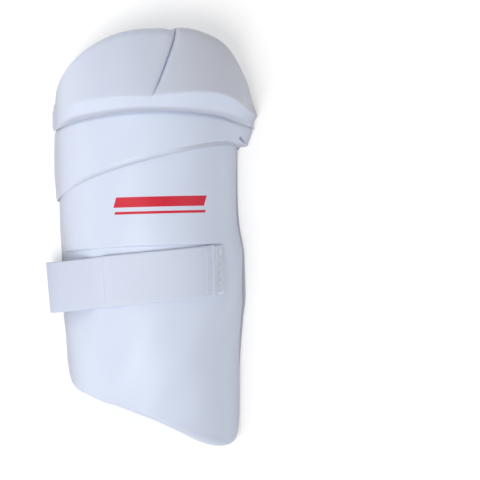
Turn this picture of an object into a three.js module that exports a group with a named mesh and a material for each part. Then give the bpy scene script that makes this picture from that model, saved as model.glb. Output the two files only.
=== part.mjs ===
// Outer thigh guard for cricket: a moulded foam shell with a stepped middle pad, a split hip pad
// and one elastic leg strap. It lies on its open side, so +Z is the front of the leg, +Y the hip
// end and +X the outer side. Millimetres.
import * as THREE from "three";

// Driving dimensions of the moulded shell
const padLength = 412;
const padHalfWidth = 93;
const padHeight = 80;
const leftWallSlope = 57;
const rightWallSlope = 66;
const baseThickness = 13;
const baseToeRadius = 5;
const baseLiningRadius = 3.5;
const middleLeftThickness = 2.6;
const middleCrestThickness = 5.2;
const middleRightThickness = 8.8;
const middleFlapRise = 4.2;
const middleRollRadius = 4;
const middleTuck = 15;
const hipLeftRidge = 3.8;
const hipCrestRidge = 21;
const hipRightRidge = 16.5;
const hipRimThickness = 9;
const hipRimRadius = 8;
const hipBevelLength = 13;
const hipBevelRound = 0.5;
const underStepStart = 8;
const underStepStop = 16;
const slitWidth = 2.4;
const slitFloor = 2;
const slitRollRadius = 6;
const slitRollShare = 0.6;
const slitStart = 7;
const slitFull = 30;
const slitNotchDepth = 2.2;
const slitNotchWidth = 10;
const slitNotchShift = 5;
const topEdgeInset = 5;
const seatDepth = 2.2;
const seatWallWidth = 1.6;

// Driving dimensions of the strap and its fastening
const webbingWidth = 50;
const webbingThickness = 1.6;
const tabThickness = 1.4;
const tabOverlap = 9;
const patchThickness = 1;
const patchWidth = 47;
const strapBulge = 12.4;
const strapBendRadius = 15;
const strapHeelRadius = 4;
const strapSewnLength = 22;

// Air left between pieces that lie on each other
const clearance = 0.3;
const hipClearance = 0.45;

// Least thickness left where a pad runs out at its border
const leastThickness = 1;

// Grid steps across and along the shell
const columnCount = 36;
const lobeColumnCount = 18;
const tabStepCount = 20;
const webbingLineCount = 4;

// Cross-sections, knee end first: at is a share of padLength from the middle, left and right
// place the two feet as shares of padHalfWidth, and crest is a share of padHeight.
const sectionTable = [
  { at: -0.5, left: -0.885, right: 0.942, crest: 0.93 },
  { at: -0.391, left: -0.9, right: 0.952, crest: 0.95 },
  { at: -0.27, left: -0.942, right: 0.957, crest: 0.98 },
  { at: -0.188, left: -0.966, right: 0.981, crest: 1 },
  { at: -0.149, left: -0.973, right: 1.003, crest: 1 },
  { at: -0.058, left: -0.987, right: 0.994, crest: 1 },
  { at: -0.028, left: -0.991, right: 0.985, crest: 1 },
  { at: 0.029, left: -1.009, right: 0.942, crest: 1.01 },
  { at: 0.092, left: -1.019, right: 0.925, crest: 1.01 },
  { at: 0.213, left: -1.027, right: 0.927, crest: 1.01 },
  { at: 0.29, left: -1.018, right: 0.948, crest: 0.99 },
  { at: 0.394, left: -1.022, right: 0.955, crest: 0.9 },
  { at: 0.5, left: -1.025, right: 0.955, crest: 0.74 },
];

// Lines drawn over the shell: side runs from -1 at the left foot over 0 at the crest to 1 at the
// right foot, and at is a share of padLength from the middle.
const kneeEdgeTable = [
  { side: -1, at: -0.297 },
  { side: -0.97, at: -0.334 },
  { side: -0.873, at: -0.3625 },
  { side: -0.711, at: -0.378 },
  { side: -0.334, at: -0.3995 },
  { side: -0.074, at: -0.4235 },
  { side: 0.172, at: -0.4535 },
  { side: 0.421, at: -0.482 },
  { side: 0.6, at: -0.4945 },
  { side: 0.755, at: -0.4985 },
  { side: 0.902, at: -0.49 },
  { side: 0.975, at: -0.463 },
  { side: 1, at: -0.425 },
];
const middleEdgeTable = [
  { side: -1, at: 0.088 },
  { side: -0.9, at: 0.0995 },
  { side: -0.8, at: 0.112 },
  { side: -0.643, at: 0.1295 },
  { side: -0.397, at: 0.1497 },
  { side: -0.139, at: 0.172 },
  { side: 0.086, at: 0.191 },
  { side: 0.324, at: 0.2078 },
  { side: 0.498, at: 0.2165 },
  { side: 0.7, at: 0.2215 },
  { side: 0.82, at: 0.2225 },
  { side: 0.92, at: 0.2205 },
  { side: 1, at: 0.2145 },
];
const lipEdgeTable = [
  { side: -1, at: 0.26 },
  { side: -0.888, at: 0.2656 },
  { side: -0.75, at: 0.2745 },
  { side: -0.66, at: 0.2795 },
  { side: -0.526, at: 0.284 },
  { side: -0.324, at: 0.291 },
  { side: -0.106, at: 0.2975 },
  { side: 0.1, at: 0.2993 },
  { side: 0.429, at: 0.2945 },
  { side: 0.659, at: 0.286 },
  { side: 0.86, at: 0.2728 },
  { side: 1, at: 0.262 },
];
const hipEdgeTable = [
  { side: -1, at: 0.315 },
  { side: -0.97, at: 0.347 },
  { side: -0.894, at: 0.38 },
  { side: -0.795, at: 0.406 },
  { side: -0.648, at: 0.4335 },
  { side: -0.51, at: 0.457 },
  { side: -0.303, at: 0.4835 },
  { side: -0.095, at: 0.4962 },
  { side: 0.1, at: 0.4985 },
  { side: 0.305, at: 0.501 },
  { side: 0.444, at: 0.496 },
  { side: 0.641, at: 0.4755 },
  { side: 0.814, at: 0.434 },
  { side: 0.92, at: 0.388 },
  { side: 1, at: 0.327 },
];
const seatTopTable = [
  { side: -1, at: -0.031 },
  { side: -0.81, at: -0.0292 },
  { side: -0.246, at: -0.0185 },
  { side: 0.61, at: -0.0115 },
  { side: 1, at: -0.01 },
];
const seatBottomTable = [
  { side: -1, at: -0.17 },
  { side: -0.334, at: -0.15 },
  { side: 0.6, at: -0.1265 },
  { side: 1, at: -0.12 },
];

// The slit between the two lobes: at is a share of padLength, side is the place across.
const slitTable = [
  { at: 0.262, side: 0.008 },
  { at: 0.3235, side: 0.016 },
  { at: 0.371, side: 0.072 },
  { at: 0.4236, side: 0.14 },
  { at: 0.4567, side: 0.187 },
  { at: 0.4854, side: 0.224 },
  { at: 0.5, side: 0.24 },
];

// Length of the hip pad's bevel from its lip up to its ridge, as a multiple of hipBevelLength.
const bevelTable = [
  { side: -1, times: 1 },
  { side: -0.777, times: 1.02 },
  { side: -0.54, times: 1.15 },
  { side: -0.299, times: 1.15 },
  { side: -0.02, times: 1.02 },
  { side: 0.07, times: 1.16 },
  { side: 0.336, times: 1.51 },
  { side: 0.512, times: 1.53 },
  { side: 0.621, times: 1.32 },
  { side: 0.699, times: 1.12 },
  { side: 0.813, times: 1 },
  { side: 1, times: 1 },
];

// Places across the shell, as shares of the way from the crest to a foot
const tabStartShare = -0.335;
const tabEndShare = 0.508;
const patchStartShare = -0.25;
const patchEndShare = 0.618;
const seatEndStartShare = 0.655;
const seatEndStopShare = 0.705;
const strapLiftShare = -0.47;

// Centre line of the strap along the leg, as shares of padLength
const tabEndAt = -0.0765;
const tabStartAt = -0.1015;
const strapLeftAt = -0.119;
const strapSewnAt = -0.112;

// Lean of the cross cuts, as the change of side over the whole width of the webbing, and of the
// loose fold at the left in millimetres for each millimetre
const tabStartCutShare = 0.029;
const tabEndCutShare = -0.0235;
const patchCutShare = -0.053;
const tabStartLean = tabStartCutShare / webbingWidth;
const tabEndLean = tabEndCutShare / webbingWidth;
const patchCutLean = patchCutShare / webbingWidth;
const strapFoldLean = 0.088;

function smoothstep(from, to, value) {
  return THREE.MathUtils.smoothstep(value, from, to);
}

// A smooth curve through a table: cubic pieces whose slopes come from the neighbouring rows.
function curveThrough(table, key, column) {
  const last = table.length - 1;
  const slopes = table.map((row, i) => {
    const before = table[Math.max(i - 1, 0)];
    const after = table[Math.min(i + 1, last)];
    return (after[column] - before[column]) / (after[key] - before[key]);
  });
  return (value) => {
    const place = THREE.MathUtils.clamp(value, table[0][key], table[last][key]);
    const found = table.findIndex((row) => row[key] > place);
    const i = found < 0 ? last - 1 : found - 1;
    const span = table[i + 1][key] - table[i][key];
    const t = (place - table[i][key]) / span;
    const rise = t * t * (3 - 2 * t);
    const leave = t * (1 - t) * (1 - t) * span * slopes[i];
    const arrive = t * t * (t - 1) * span * slopes[i + 1];
    return THREE.MathUtils.lerp(table[i][column], table[i + 1][column], rise) + leave + arrive;
  };
}

const leftShare = curveThrough(sectionTable, "at", "left");
const rightShare = curveThrough(sectionTable, "at", "right");
const crestShare = curveThrough(sectionTable, "at", "crest");
const kneeEdge = curveThrough(kneeEdgeTable, "side", "at");
const middleEdge = curveThrough(middleEdgeTable, "side", "at");
const lipEdge = curveThrough(lipEdgeTable, "side", "at");
const hipEdge = curveThrough(hipEdgeTable, "side", "at");
const seatTopEdge = curveThrough(seatTopTable, "side", "at");
const seatBottomEdge = curveThrough(seatBottomTable, "side", "at");
const slitSide = curveThrough(slitTable, "at", "side");
const bevelTimes = curveThrough(bevelTable, "side", "times");

// Height of the base pad's left foot: it rests on the strap that runs below it.
const leftFootHeight = webbingThickness + clearance;

// One cross-section: two straight walls joined by a round crest that touches both.
function sectionAt(y) {
  const at = y / padLength;
  const left = padHalfWidth * leftShare(at);
  const right = padHalfWidth * rightShare(at);
  const crest = padHeight * crestShare(at);
  const leftLean = THREE.MathUtils.degToRad(leftWallSlope);
  const rightLean = THREE.MathUtils.degToRad(rightWallSlope);
  const run = right - left - crest / Math.tan(leftLean) - crest / Math.tan(rightLean);
  const radius = run / (Math.tan(leftLean / 2) + Math.tan(rightLean / 2));
  const centre = left + radius * Math.tan(leftLean / 2) + crest / Math.tan(leftLean);
  return { crest, radius, centre, leftLean, rightLean };
}

// Length over the crest from the middle to one foot, on the base pad's outer face.
function halfGirth(side, y) {
  const { crest, radius, leftLean, rightLean } = sectionAt(y);
  const lean = side < 0 ? leftLean : rightLean;
  const wall = (crest - radius * (1 - Math.cos(lean))) / Math.sin(lean);
  return wall + radius * lean;
}

// The point at a place across and along the shell, raised off the base pad's outer face. The foot
// of every layer ends level at footHeight.
function shellPoint(side, y, raise, footHeight) {
  const { crest, radius, centre, leftLean, rightLean } = sectionAt(y);
  const sign = side < 0 ? -1 : 1;
  const lean = side < 0 ? leftLean : rightLean;
  const girth = halfGirth(side, y);
  const turnShare = (radius * lean) / girth;
  const across = Math.min(Math.abs(side), 1);
  const turned = lean * Math.min(across / turnShare, 1);
  const shoulder = crest - radius + (radius + raise) * Math.cos(lean);
  const wall = (shoulder - footHeight) / Math.sin(lean);
  const down = (wall * Math.max(across - turnShare, 0)) / (1 - turnShare);
  const x = centre + sign * ((radius + raise) * Math.sin(turned) + down * Math.cos(turned));
  const z = crest - radius + (radius + raise) * Math.cos(turned) - down * Math.sin(turned);
  return new THREE.Vector3(x, y, z);
}

// Drop of a rolled edge at a distance from its border.
function edgeDrop(distance, radius) {
  const inside = THREE.MathUtils.clamp(radius - distance, 0, radius);
  return radius - Math.sqrt(radius * radius - inside * inside);
}

// Distance to the nearer foot along the shell.
function footDistance(side, y) {
  return (1 - Math.abs(side)) * halfGirth(side, y);
}

// How far the underside of an upper layer follows the base pad's rounded foot down.
function footDrop(side, y) {
  return edgeDrop(footDistance(side, y), baseToeRadius);
}

// Places from 0 to 1 that crowd towards both ends.
function crowdedShares(count) {
  return Array.from({ length: count + 1 }, (_, i) => {
    const even = i / count;
    return (even + (1 - Math.cos(Math.PI * even)) / 2) / 2;
  });
}

const sharedSides = crowdedShares(columnCount).map((share) => 2 * share - 1);

// A closed pad between two faces over one grid, with a wall round its border.
function padGeometry(outerRows, innerRows) {
  const rowCount = outerRows.length;
  const width = outerRows[0].length;
  const positions = [...outerRows.flat(), ...innerRows.flat()].flatMap((p) => p.toArray());
  const outer = (i, j) => j * width + i;
  const inner = (i, j) => (rowCount + j) * width + i;
  const indices = [];
  const quad = (a, b, c, d) => indices.push(a, b, c, a, c, d);
  for (let j = 0; j < rowCount - 1; j += 1) {
    for (let i = 0; i < width - 1; i += 1) {
      quad(outer(i, j), outer(i + 1, j), outer(i + 1, j + 1), outer(i, j + 1));
      quad(inner(i, j), inner(i, j + 1), inner(i + 1, j + 1), inner(i + 1, j));
    }
    quad(outer(width - 1, j), inner(width - 1, j), inner(width - 1, j + 1), outer(width - 1, j + 1));
    quad(inner(0, j), outer(0, j), outer(0, j + 1), inner(0, j + 1));
  }
  for (let i = 0; i < width - 1; i += 1) {
    quad(inner(i, 0), inner(i + 1, 0), outer(i + 1, 0), outer(i, 0));
    quad(outer(i, rowCount - 1), outer(i + 1, rowCount - 1), inner(i + 1, rowCount - 1),
      inner(i, rowCount - 1));
  }
  const geometry = new THREE.BufferGeometry();
  geometry.setAttribute("position", new THREE.Float32BufferAttribute(positions, 3));
  geometry.setIndex(indices);
  geometry.computeVertexNormals();
  return geometry;
}

// Depth of the moulded strap seat: a step at its upper edge that runs out to nothing below, and
// that ends in a short wall on the right.
function seatHollow(side, y) {
  const top = seatTopEdge(side) * padLength;
  const bottom = seatBottomEdge(side) * padLength;
  const wedge = THREE.MathUtils.clamp((y - bottom) / (top - bottom), 0, 1);
  const open = 1 - smoothstep(top - seatWallWidth, top, y);
  const beforeEnd = 1 - smoothstep(seatEndStartShare, seatEndStopShare, side);
  return seatDepth * wedge * open * beforeEnd;
}

// Height of the strap seat's floor against the shell, right under the strap.
function seatFloor(side, y) {
  return -seatHollow(side, y);
}

// Upper border of the base pad, tucked in below the hip pad's rim.
function baseTopEdge(side) {
  return hipEdge(side) * padLength - topEdgeInset;
}

// Rows of the base pad, as places along Y for one column: the knee end's rolled edge, the strap
// seat, the plain front and the hip end's rolled edge.
function baseRowPlaces(side) {
  const bottom = kneeEdge(side) * padLength;
  const seatBottom = seatBottomEdge(side) * padLength;
  const seatTop = seatTopEdge(side) * padLength;
  const top = baseTopEdge(side);
  const rimSteps = [0, 0.14, 0.5, 1].map((share) => share * baseToeRadius);
  const between = (from, to, count) =>
    Array.from({ length: count }, (_, i) => THREE.MathUtils.lerp(from, to, (i + 1) / count));
  const rim = rimSteps[rimSteps.length - 1];
  return [
    ...rimSteps.map((step) => bottom + step),
    ...between(bottom + rim, seatBottom, 7),
    ...between(seatBottom, seatTop - seatWallWidth, 3),
    seatTop,
    ...between(seatTop, top - rim, 12),
    ...rimSteps.slice(0, -1).reverse().map((step) => top - step),
  ];
}

const baseSides = [...sharedSides, seatEndStartShare, seatEndStopShare].sort((a, b) => a - b);

function baseFootHeight(side) {
  return side < 0 ? leftFootHeight : 0;
}

function basePad() {
  const placesOf = baseSides.map(baseRowPlaces);
  const faceRows = (raiseAt) =>
    placesOf[0].map((_, j) =>
      baseSides.map((side, i) => {
        const y = placesOf[i][j];
        const edge = Math.min(y - placesOf[i][0], placesOf[i][placesOf[i].length - 1] - y,
          footDistance(side, y));
        return shellPoint(side, y, raiseAt(side, y, edge), baseFootHeight(side));
      }));
  const outer = faceRows((side, y, edge) => -seatHollow(side, y) - edgeDrop(edge, baseToeRadius));
  const inner = faceRows((side, y, edge) => -baseThickness + edgeDrop(edge, baseLiningRadius));
  return padGeometry(outer, inner);
}

// Thickness of the middle pad: thin on the left, fuller over the crest, and rising on the right
// towards the hip pad.
function middleThickness(side, y) {
  if (side < 0) {
    return THREE.MathUtils.lerp(middleCrestThickness, middleLeftThickness,
      smoothstep(0.35, 1, -side));
  }
  const bottom = middleEdge(side) * padLength;
  const lip = lipEdge(side) * padLength;
  const rise = middleFlapRise * smoothstep(bottom, lip, y) * smoothstep(0.6, 1, side);
  return THREE.MathUtils.lerp(middleCrestThickness, middleRightThickness,
    smoothstep(0.55, 1, side)) + rise;
}

function middlePad() {
  const shares = [0, 0.05, 0.14, 0.35, 0.6, 0.8, 0.92, 1];
  const bottomOf = (side) => middleEdge(side) * padLength;
  const topOf = (side) => lipEdge(side) * padLength + middleTuck;
  const rows = (raiseAt) =>
    shares.map((share) =>
      sharedSides.map((side) => {
        const y = THREE.MathUtils.lerp(bottomOf(side), topOf(side), share);
        const edge = Math.min(y - bottomOf(side), topOf(side) - y, footDistance(side, y));
        return shellPoint(side, y, raiseAt(side, y, edge), 0);
      }));
  const outer = rows((side, y, edge) => {
    const thickness = middleThickness(side, y);
    return thickness - edgeDrop(edge, Math.min(middleRollRadius, thickness - leastThickness));
  });
  const inner = rows((side, y) => clearance - footDrop(side, y));
  return padGeometry(outer, inner);
}

// Thickness of the hip pad along its ridge
function ridgeThickness(side) {
  if (side < 0) {
    return THREE.MathUtils.lerp(hipCrestRidge, hipLeftRidge, smoothstep(0.25, 1, -side));
  }
  return THREE.MathUtils.lerp(hipCrestRidge, hipRightRidge, smoothstep(0.5, 1, side));
}

// Lower border of the hip pad: the lip over the middle pad.
function hipBottom(side) {
  return lipEdge(side) * padLength;
}

// Upper border of the hip pad, dipping beside the place where the slit comes out.
function hipTop(side) {
  const opening = slitSide(hipEdge(side));
  const girth = halfGirth(side, hipEdge(side) * padLength);
  const away = Math.abs((side - opening) * girth + slitNotchShift) / slitNotchWidth;
  return hipEdge(side) * padLength - slitNotchDepth * Math.max(0, 1 - away) ** 2;
}

// Height of the hip pad's face: a round bevel up to the ridge, a long fall to the rim and a
// rolled rim.
function hipFace(side, y) {
  const bottom = hipBottom(side);
  const top = hipTop(side);
  const under = middleThickness(side, y) + clearance + hipClearance;
  const ridge = ridgeThickness(side);
  const rim = Math.min(hipRimThickness, ridge);
  const bevelLength = hipBevelLength * bevelTimes(side);
  const up = THREE.MathUtils.clamp((y - bottom) / bevelLength, 0, 1);
  const fall = THREE.MathUtils.clamp((y - bottom - bevelLength) / (top - bottom - bevelLength), 0, 1);
  const bevel = THREE.MathUtils.lerp(up, Math.sqrt(1 - (1 - up) ** 2), hipBevelRound);
  const body = THREE.MathUtils.lerp(Math.min(under, ridge - leastThickness), ridge, bevel);
  const face = THREE.MathUtils.lerp(body, rim, fall);
  return face - edgeDrop(top - y, Math.min(hipRimRadius, rim - leastThickness));
}

// Height of the hip pad's underside: over the middle pad's tuck first, then down on the base pad.
function hipUnderside(side, y) {
  const tuckEnd = lipEdge(side) * padLength + middleTuck;
  const over = 1 - smoothstep(tuckEnd + underStepStart, tuckEnd + underStepStop, y);
  const onMiddle = middleThickness(side, Math.min(y, tuckEnd)) + clearance;
  return hipClearance + onMiddle * over - footDrop(side, y) * (1 - over);
}

// How deep the slit is cut: full at the hip end and gone below the ridge.
function slitCut(side, y) {
  const start = lipEdge(side) * padLength;
  return smoothstep(start + slitStart, start + slitFull, y);
}

function hipPad() {
  const rowShares = [0, 0.02, 0.06, 0.1, 0.155, 0.21, 0.3, 0.4, 0.52, 0.64, 0.76, 0.86, 0.93, 0.97, 0.99, 1];
  const lobeShares = crowdedShares(lobeColumnCount);
  const slitSteps = [slitRollRadius, slitRollRadius * 0.45, slitWidth / 2];
  const sideAt = (lobe, share, y) => {
    const middle = slitSide(y / padLength);
    return lobe < 0 ? THREE.MathUtils.lerp(-1, middle, share) : THREE.MathUtils.lerp(middle, 1, share);
  };
  // One column across the pad: its lobe, its share of that lobe and its distance from the slit
  const columns = [
    ...lobeShares.slice(0, -1).map((share) => ({ lobe: -1, share, off: null })),
    ...slitSteps.map((off) => ({ lobe: -1, share: 1, off })),
    { lobe: 0, share: 0, off: 0 },
    ...slitSteps.slice().reverse().map((off) => ({ lobe: 1, share: 0, off })),
    ...lobeShares.slice(1).map((share) => ({ lobe: 1, share, off: null })),
  ];
  const placeOf = (column, rowShare) => {
    let side = column.share * 2 - 1;
    let y = 0;
    for (let pass = 0; pass < 12; pass += 1) {
      y = THREE.MathUtils.lerp(hipBottom(side), hipTop(side), rowShare);
      const girth = halfGirth(side, y);
      if (column.off === null) {
        side = sideAt(column.lobe, column.share, y);
        const room = slitRollRadius / girth;
        const gap = slitSide(y / padLength);
        if (column.lobe < 0) side = -1 + ((side + 1) * (gap - room + 1)) / (gap + 1);
        if (column.lobe > 0) side = 1 - ((1 - side) * (1 - gap - room)) / (1 - gap);
      } else {
        side = slitSide(y / padLength) + (column.lobe * column.off) / girth;
      }
    }
    return { side, y };
  };
  const outer = rowShares.map((rowShare) =>
    columns.map((column) => {
      const { side, y } = placeOf(column, rowShare);
      const face = hipFace(side, y);
      const cut = slitCut(side, y);
      const distance = column.off === null ? slitRollRadius : column.off;
      const rolled = face - cut * edgeDrop(distance, slitRollRadius) * slitRollShare;
      const raise = column.lobe === 0
        ? THREE.MathUtils.lerp(face, Math.min(slitFloor, face), cut)
        : rolled;
      return shellPoint(side, y, Math.max(raise, hipUnderside(side, y) + leastThickness), 0);
    }));
  const inner = rowShares.map((rowShare) =>
    columns.map((column) => {
      const { side, y } = placeOf(column, rowShare);
      return shellPoint(side, y, hipUnderside(side, y), 0);
    }));
  return padGeometry(outer, inner);
}

// Centre line of the strap along Y over the front, straight from the tab's end to the left foot.
function frontCentre(side) {
  const slope = (tabEndAt - tabStartAt) / (tabEndShare - tabStartShare);
  return (tabStartAt + slope * (side - tabStartShare)) * padLength;
}

// One point of the front webbing: q is the distance across it, lean slants its cross cut, and
// height is over the seat's floor.
function frontPoint(side, q, lean, height) {
  const leaned = side - q * lean;
  const y = frontCentre(leaned) + q;
  const floor = seatFloor(Math.min(leaned, seatEndStartShare), y);
  return shellPoint(leaned, y, floor + height, leftFootHeight);
}

// Points on an arc in the plane across the leg, from one angle to another.
function arcPoints(centreX, centreZ, y, radius, fromDegrees, toDegrees, count) {
  return Array.from({ length: count + 1 }, (_, k) => {
    const angle = THREE.MathUtils.degToRad(THREE.MathUtils.lerp(fromDegrees, toDegrees, k / count));
    return new THREE.Vector3(centreX + radius * Math.cos(angle), y, centreZ + radius * Math.sin(angle));
  });
}

// One lengthwise line of the elastic strap at the distance q from its middle: from its end under
// the tab over the left wall, in a loose bend to the surface, under the arch, and up the inner
// face of the right wall, where it is sewn.
function strapLine(q) {
  const half = webbingThickness / 2;
  const front = [0, 0.2, 0.4, 0.6, 0.8, 1].map((share) =>
    frontPoint(THREE.MathUtils.lerp(tabStartShare, strapLiftShare, share), q, tabStartLean,
      clearance + half));
  const leftY = strapLeftAt * padLength + q;
  const leftFoot = shellPoint(-1, strapLeftAt * padLength, 0, leftFootHeight).x;
  const foldX = leftFoot - strapBulge + strapBendRadius - q * strapFoldLean;
  const bend = arcPoints(foldX, half + strapBendRadius, leftY, strapBendRadius, 160, 270, 11);
  const lifted = front[front.length - 1];
  const leaving = lifted.clone().sub(front[front.length - 2]).normalize();
  const reach = bend[0].distanceTo(lifted) / 3;
  const arriving = bend[0].clone().sub(bend[1]).normalize();
  const bridge = new THREE.CubicBezierCurve3(
    lifted,
    lifted.clone().addScaledVector(leaving, reach),
    bend[0].clone().addScaledVector(arriving, reach),
    bend[0],
  ).getPoints(8).slice(1, -1);
  const sewnY = strapSewnAt * padLength + q;
  const { rightLean } = sectionAt(sewnY);
  const turn = 180 - THREE.MathUtils.radToDeg(rightLean);
  const heelEnd = THREE.MathUtils.degToRad(turn - 90);
  const endZ = half + strapHeelRadius * (1 + Math.sin(heelEnd));
  const insideFoot = shellPoint(1, sewnY, -baseThickness - 2 * clearance - half, 0).x;
  const endX = insideFoot - endZ / Math.tan(rightLean);
  const heelX = endX - strapHeelRadius * Math.cos(heelEnd);
  const heel = arcPoints(heelX, half + strapHeelRadius, sewnY, strapHeelRadius, 270, 270 + turn, 6);
  const back = [0.15, 0.3, 0.45, 0.6, 0.75, 0.9].map((share) => new THREE.Vector3(
    THREE.MathUtils.lerp(foldX, heelX, share),
    THREE.MathUtils.lerp(leftY, sewnY, share),
    half,
  ));
  const sewn = [0.25, 0.5, 0.75, 1].map((share) => new THREE.Vector3(
    endX - share * strapSewnLength * Math.cos(rightLean),
    sewnY,
    endZ + share * strapSewnLength * Math.sin(rightLean),
  ));
  return [...front, ...bridge, ...bend, ...back, ...heel, ...sewn];
}

// A flat webbing through lengthwise lines that are sampled alike, lower line first.
function webbingGeometry(lines, thickness) {
  const last = lines[0].length - 1;
  const face = (direction) =>
    lines.map((line, row) =>
      line.map((point, k) => {
        const along = line[Math.min(k + 1, last)].clone().sub(line[Math.max(k - 1, 0)]);
        const above = lines[Math.min(row + 1, lines.length - 1)][k];
        const across = above.clone().sub(lines[Math.max(row - 1, 0)][k]);
        const normal = along.cross(across).normalize();
        return point.clone().addScaledVector(normal, (direction * thickness) / 2);
      }));
  return padGeometry(face(1), face(-1));
}

// Distances across a webbing of the given width, one for each lengthwise line.
function lineOffsets(width) {
  return Array.from({ length: webbingLineCount + 1 }, (_, k) => width * (k / webbingLineCount - 0.5));
}

function legStrap() {
  const lines = lineOffsets(webbingWidth).map((q) => strapLine(q).reverse());
  return webbingGeometry(lines, webbingThickness);
}

function hookTab() {
  const overlapSide = tabOverlap / halfGirth(-1, tabStartAt * padLength);
  const start = tabStartShare - overlapSide;
  const over = patchThickness + 2 * clearance + tabThickness / 2;
  const raised = webbingThickness + 2 * clearance + tabThickness / 2;
  const lines = lineOffsets(webbingWidth).map((q) =>
    Array.from({ length: tabStepCount + 1 }, (_, k) => {
      const side = THREE.MathUtils.lerp(start, tabEndShare, k / tabStepCount);
      const down = smoothstep(tabStartShare + 0.01, tabStartShare + 0.09, side);
      const lean = THREE.MathUtils.lerp(tabStartLean, tabEndLean, k / tabStepCount);
      return frontPoint(side, q, lean, THREE.MathUtils.lerp(raised, over, down));
    }));
  return webbingGeometry(lines, tabThickness);
}

function loopPatch() {
  const lines = lineOffsets(patchWidth).map((q) =>
    Array.from({ length: tabStepCount + 1 }, (_, k) => {
      const side = THREE.MathUtils.lerp(patchStartShare, patchEndShare, k / tabStepCount);
      return frontPoint(side, q, patchCutLean, clearance + patchThickness / 2);
    }));
  return webbingGeometry(lines, patchThickness);
}

const finishes = {
  skin: { color: 0xe3e8f4, roughness: 0.5, metalness: 0 },
  elastic: { color: 0xd6dcef, roughness: 0.95, metalness: 0 },
  hookTape: { color: 0xdadff0, roughness: 0.85, metalness: 0 },
  loopPile: { color: 0xc9d2e2, roughness: 1, metalness: 0 },
};

function piece(name, geometry, finish) {
  const mesh = new THREE.Mesh(geometry, new THREE.MeshStandardMaterial(finish));
  mesh.name = name;
  return mesh;
}

const thighGuard = new THREE.Group();
thighGuard.add(piece("base_pad", basePad(), finishes.skin));
thighGuard.add(piece("middle_pad", middlePad(), finishes.skin));
thighGuard.add(piece("hip_pad", hipPad(), finishes.skin));
thighGuard.add(piece("leg_strap", legStrap(), finishes.elastic));
thighGuard.add(piece("hook_tab", hookTab(), finishes.hookTape));
thighGuard.add(piece("loop_patch", loopPatch(), finishes.loopPile));

export default thighGuard;
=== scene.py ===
"""Looks of an outer cricket thigh guard: a moulded foam shell, middle pad, split hip pad and leg strap.

Shapes are worked out in millimetres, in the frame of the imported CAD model, and put into meshes in metres.
"""

import logging
import math
from collections.abc import Callable
from dataclasses import dataclass, field
from enum import Enum

import bpy
import numpy as np
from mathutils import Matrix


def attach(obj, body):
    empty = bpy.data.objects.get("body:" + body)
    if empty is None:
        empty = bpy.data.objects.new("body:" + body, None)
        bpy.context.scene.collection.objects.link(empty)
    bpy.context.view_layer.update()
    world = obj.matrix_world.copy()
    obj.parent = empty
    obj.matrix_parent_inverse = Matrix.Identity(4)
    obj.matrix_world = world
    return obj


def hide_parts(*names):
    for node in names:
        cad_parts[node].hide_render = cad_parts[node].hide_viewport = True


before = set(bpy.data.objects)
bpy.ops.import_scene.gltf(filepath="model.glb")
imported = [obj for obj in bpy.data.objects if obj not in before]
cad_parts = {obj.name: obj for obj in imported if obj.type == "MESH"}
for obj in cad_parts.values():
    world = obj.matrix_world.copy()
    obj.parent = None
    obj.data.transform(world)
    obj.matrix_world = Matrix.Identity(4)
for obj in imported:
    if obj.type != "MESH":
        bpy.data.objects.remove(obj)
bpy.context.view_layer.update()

MM = 0.001
Line = Callable[[np.ndarray], np.ndarray]
LOG = logging.getLogger("thigh_guard")
FAR = 99.0


class Slot(Enum):
    """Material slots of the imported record."""

    SKIN = "moulded_skin"
    ELASTIC = "elastic_webbing"
    HOOK = "hook_tape"
    LOOP = "loop_pile"


# Small tools for shapes


def smooth(start: float, stop: float, value: np.ndarray) -> np.ndarray:
    """Cubic step from 0 at start to 1 at stop: t t (3 - 2 t)."""
    t = np.clip((value - start) / (stop - start), 0.0, 1.0)
    return t * t * (3.0 - 2.0 * t)


def blend(first: np.ndarray, second: np.ndarray, share: np.ndarray) -> np.ndarray:
    """Straight mix: first (1 - share) + second share."""
    return first + (second - first) * share


def roll(gap: np.ndarray, reach: float, depth: np.ndarray) -> np.ndarray:
    """Fall of a rolled edge, a quarter ellipse: depth (1 - sqrt(1 - (1 - gap / reach)^2)) within reach."""
    inside = 1.0 - np.clip(gap / reach, 0.0, 1.0)
    return depth * (1.0 - np.sqrt(1.0 - inside**2))


def round_steps(reach: float, count: int) -> np.ndarray:
    """Distances from a border that draw a quarter circle: reach (1 - cos a), a from 0 to 90 degrees."""
    return reach * (1.0 - np.cos(np.linspace(0.0, math.pi / 2, count + 1)))


@dataclass(frozen=True)
class Curve:
    """A smooth line through a few measured places, with slopes taken from the neighbouring places."""

    rows: tuple[tuple[float, float], ...]

    def at(self, place: np.ndarray) -> np.ndarray:
        """Cubic Hermite value at each place.

        Args:
            place: Places along the line, any shape; those outside the table take its end values.

        Returns:
            Values in the shape of place.
        """
        x, y = np.array(self.rows).T
        before = np.maximum(np.arange(x.size) - 1, 0)
        after = np.minimum(np.arange(x.size) + 1, x.size - 1)
        slope = (y[after] - y[before]) / (x[after] - x[before])
        held = np.clip(place, x[0], x[-1])
        i = np.clip(np.searchsorted(x, held, side="right") - 1, 0, x.size - 2)
        span = x[i + 1] - x[i]
        t = (held - x[i]) / span
        leave = t * (1.0 - t) ** 2 * span * slope[i]
        arrive = t * t * (t - 1.0) * span * slope[i + 1]
        return blend(y[i], y[i + 1], t * t * (3.0 - 2.0 * t)) + leave + arrive


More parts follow.
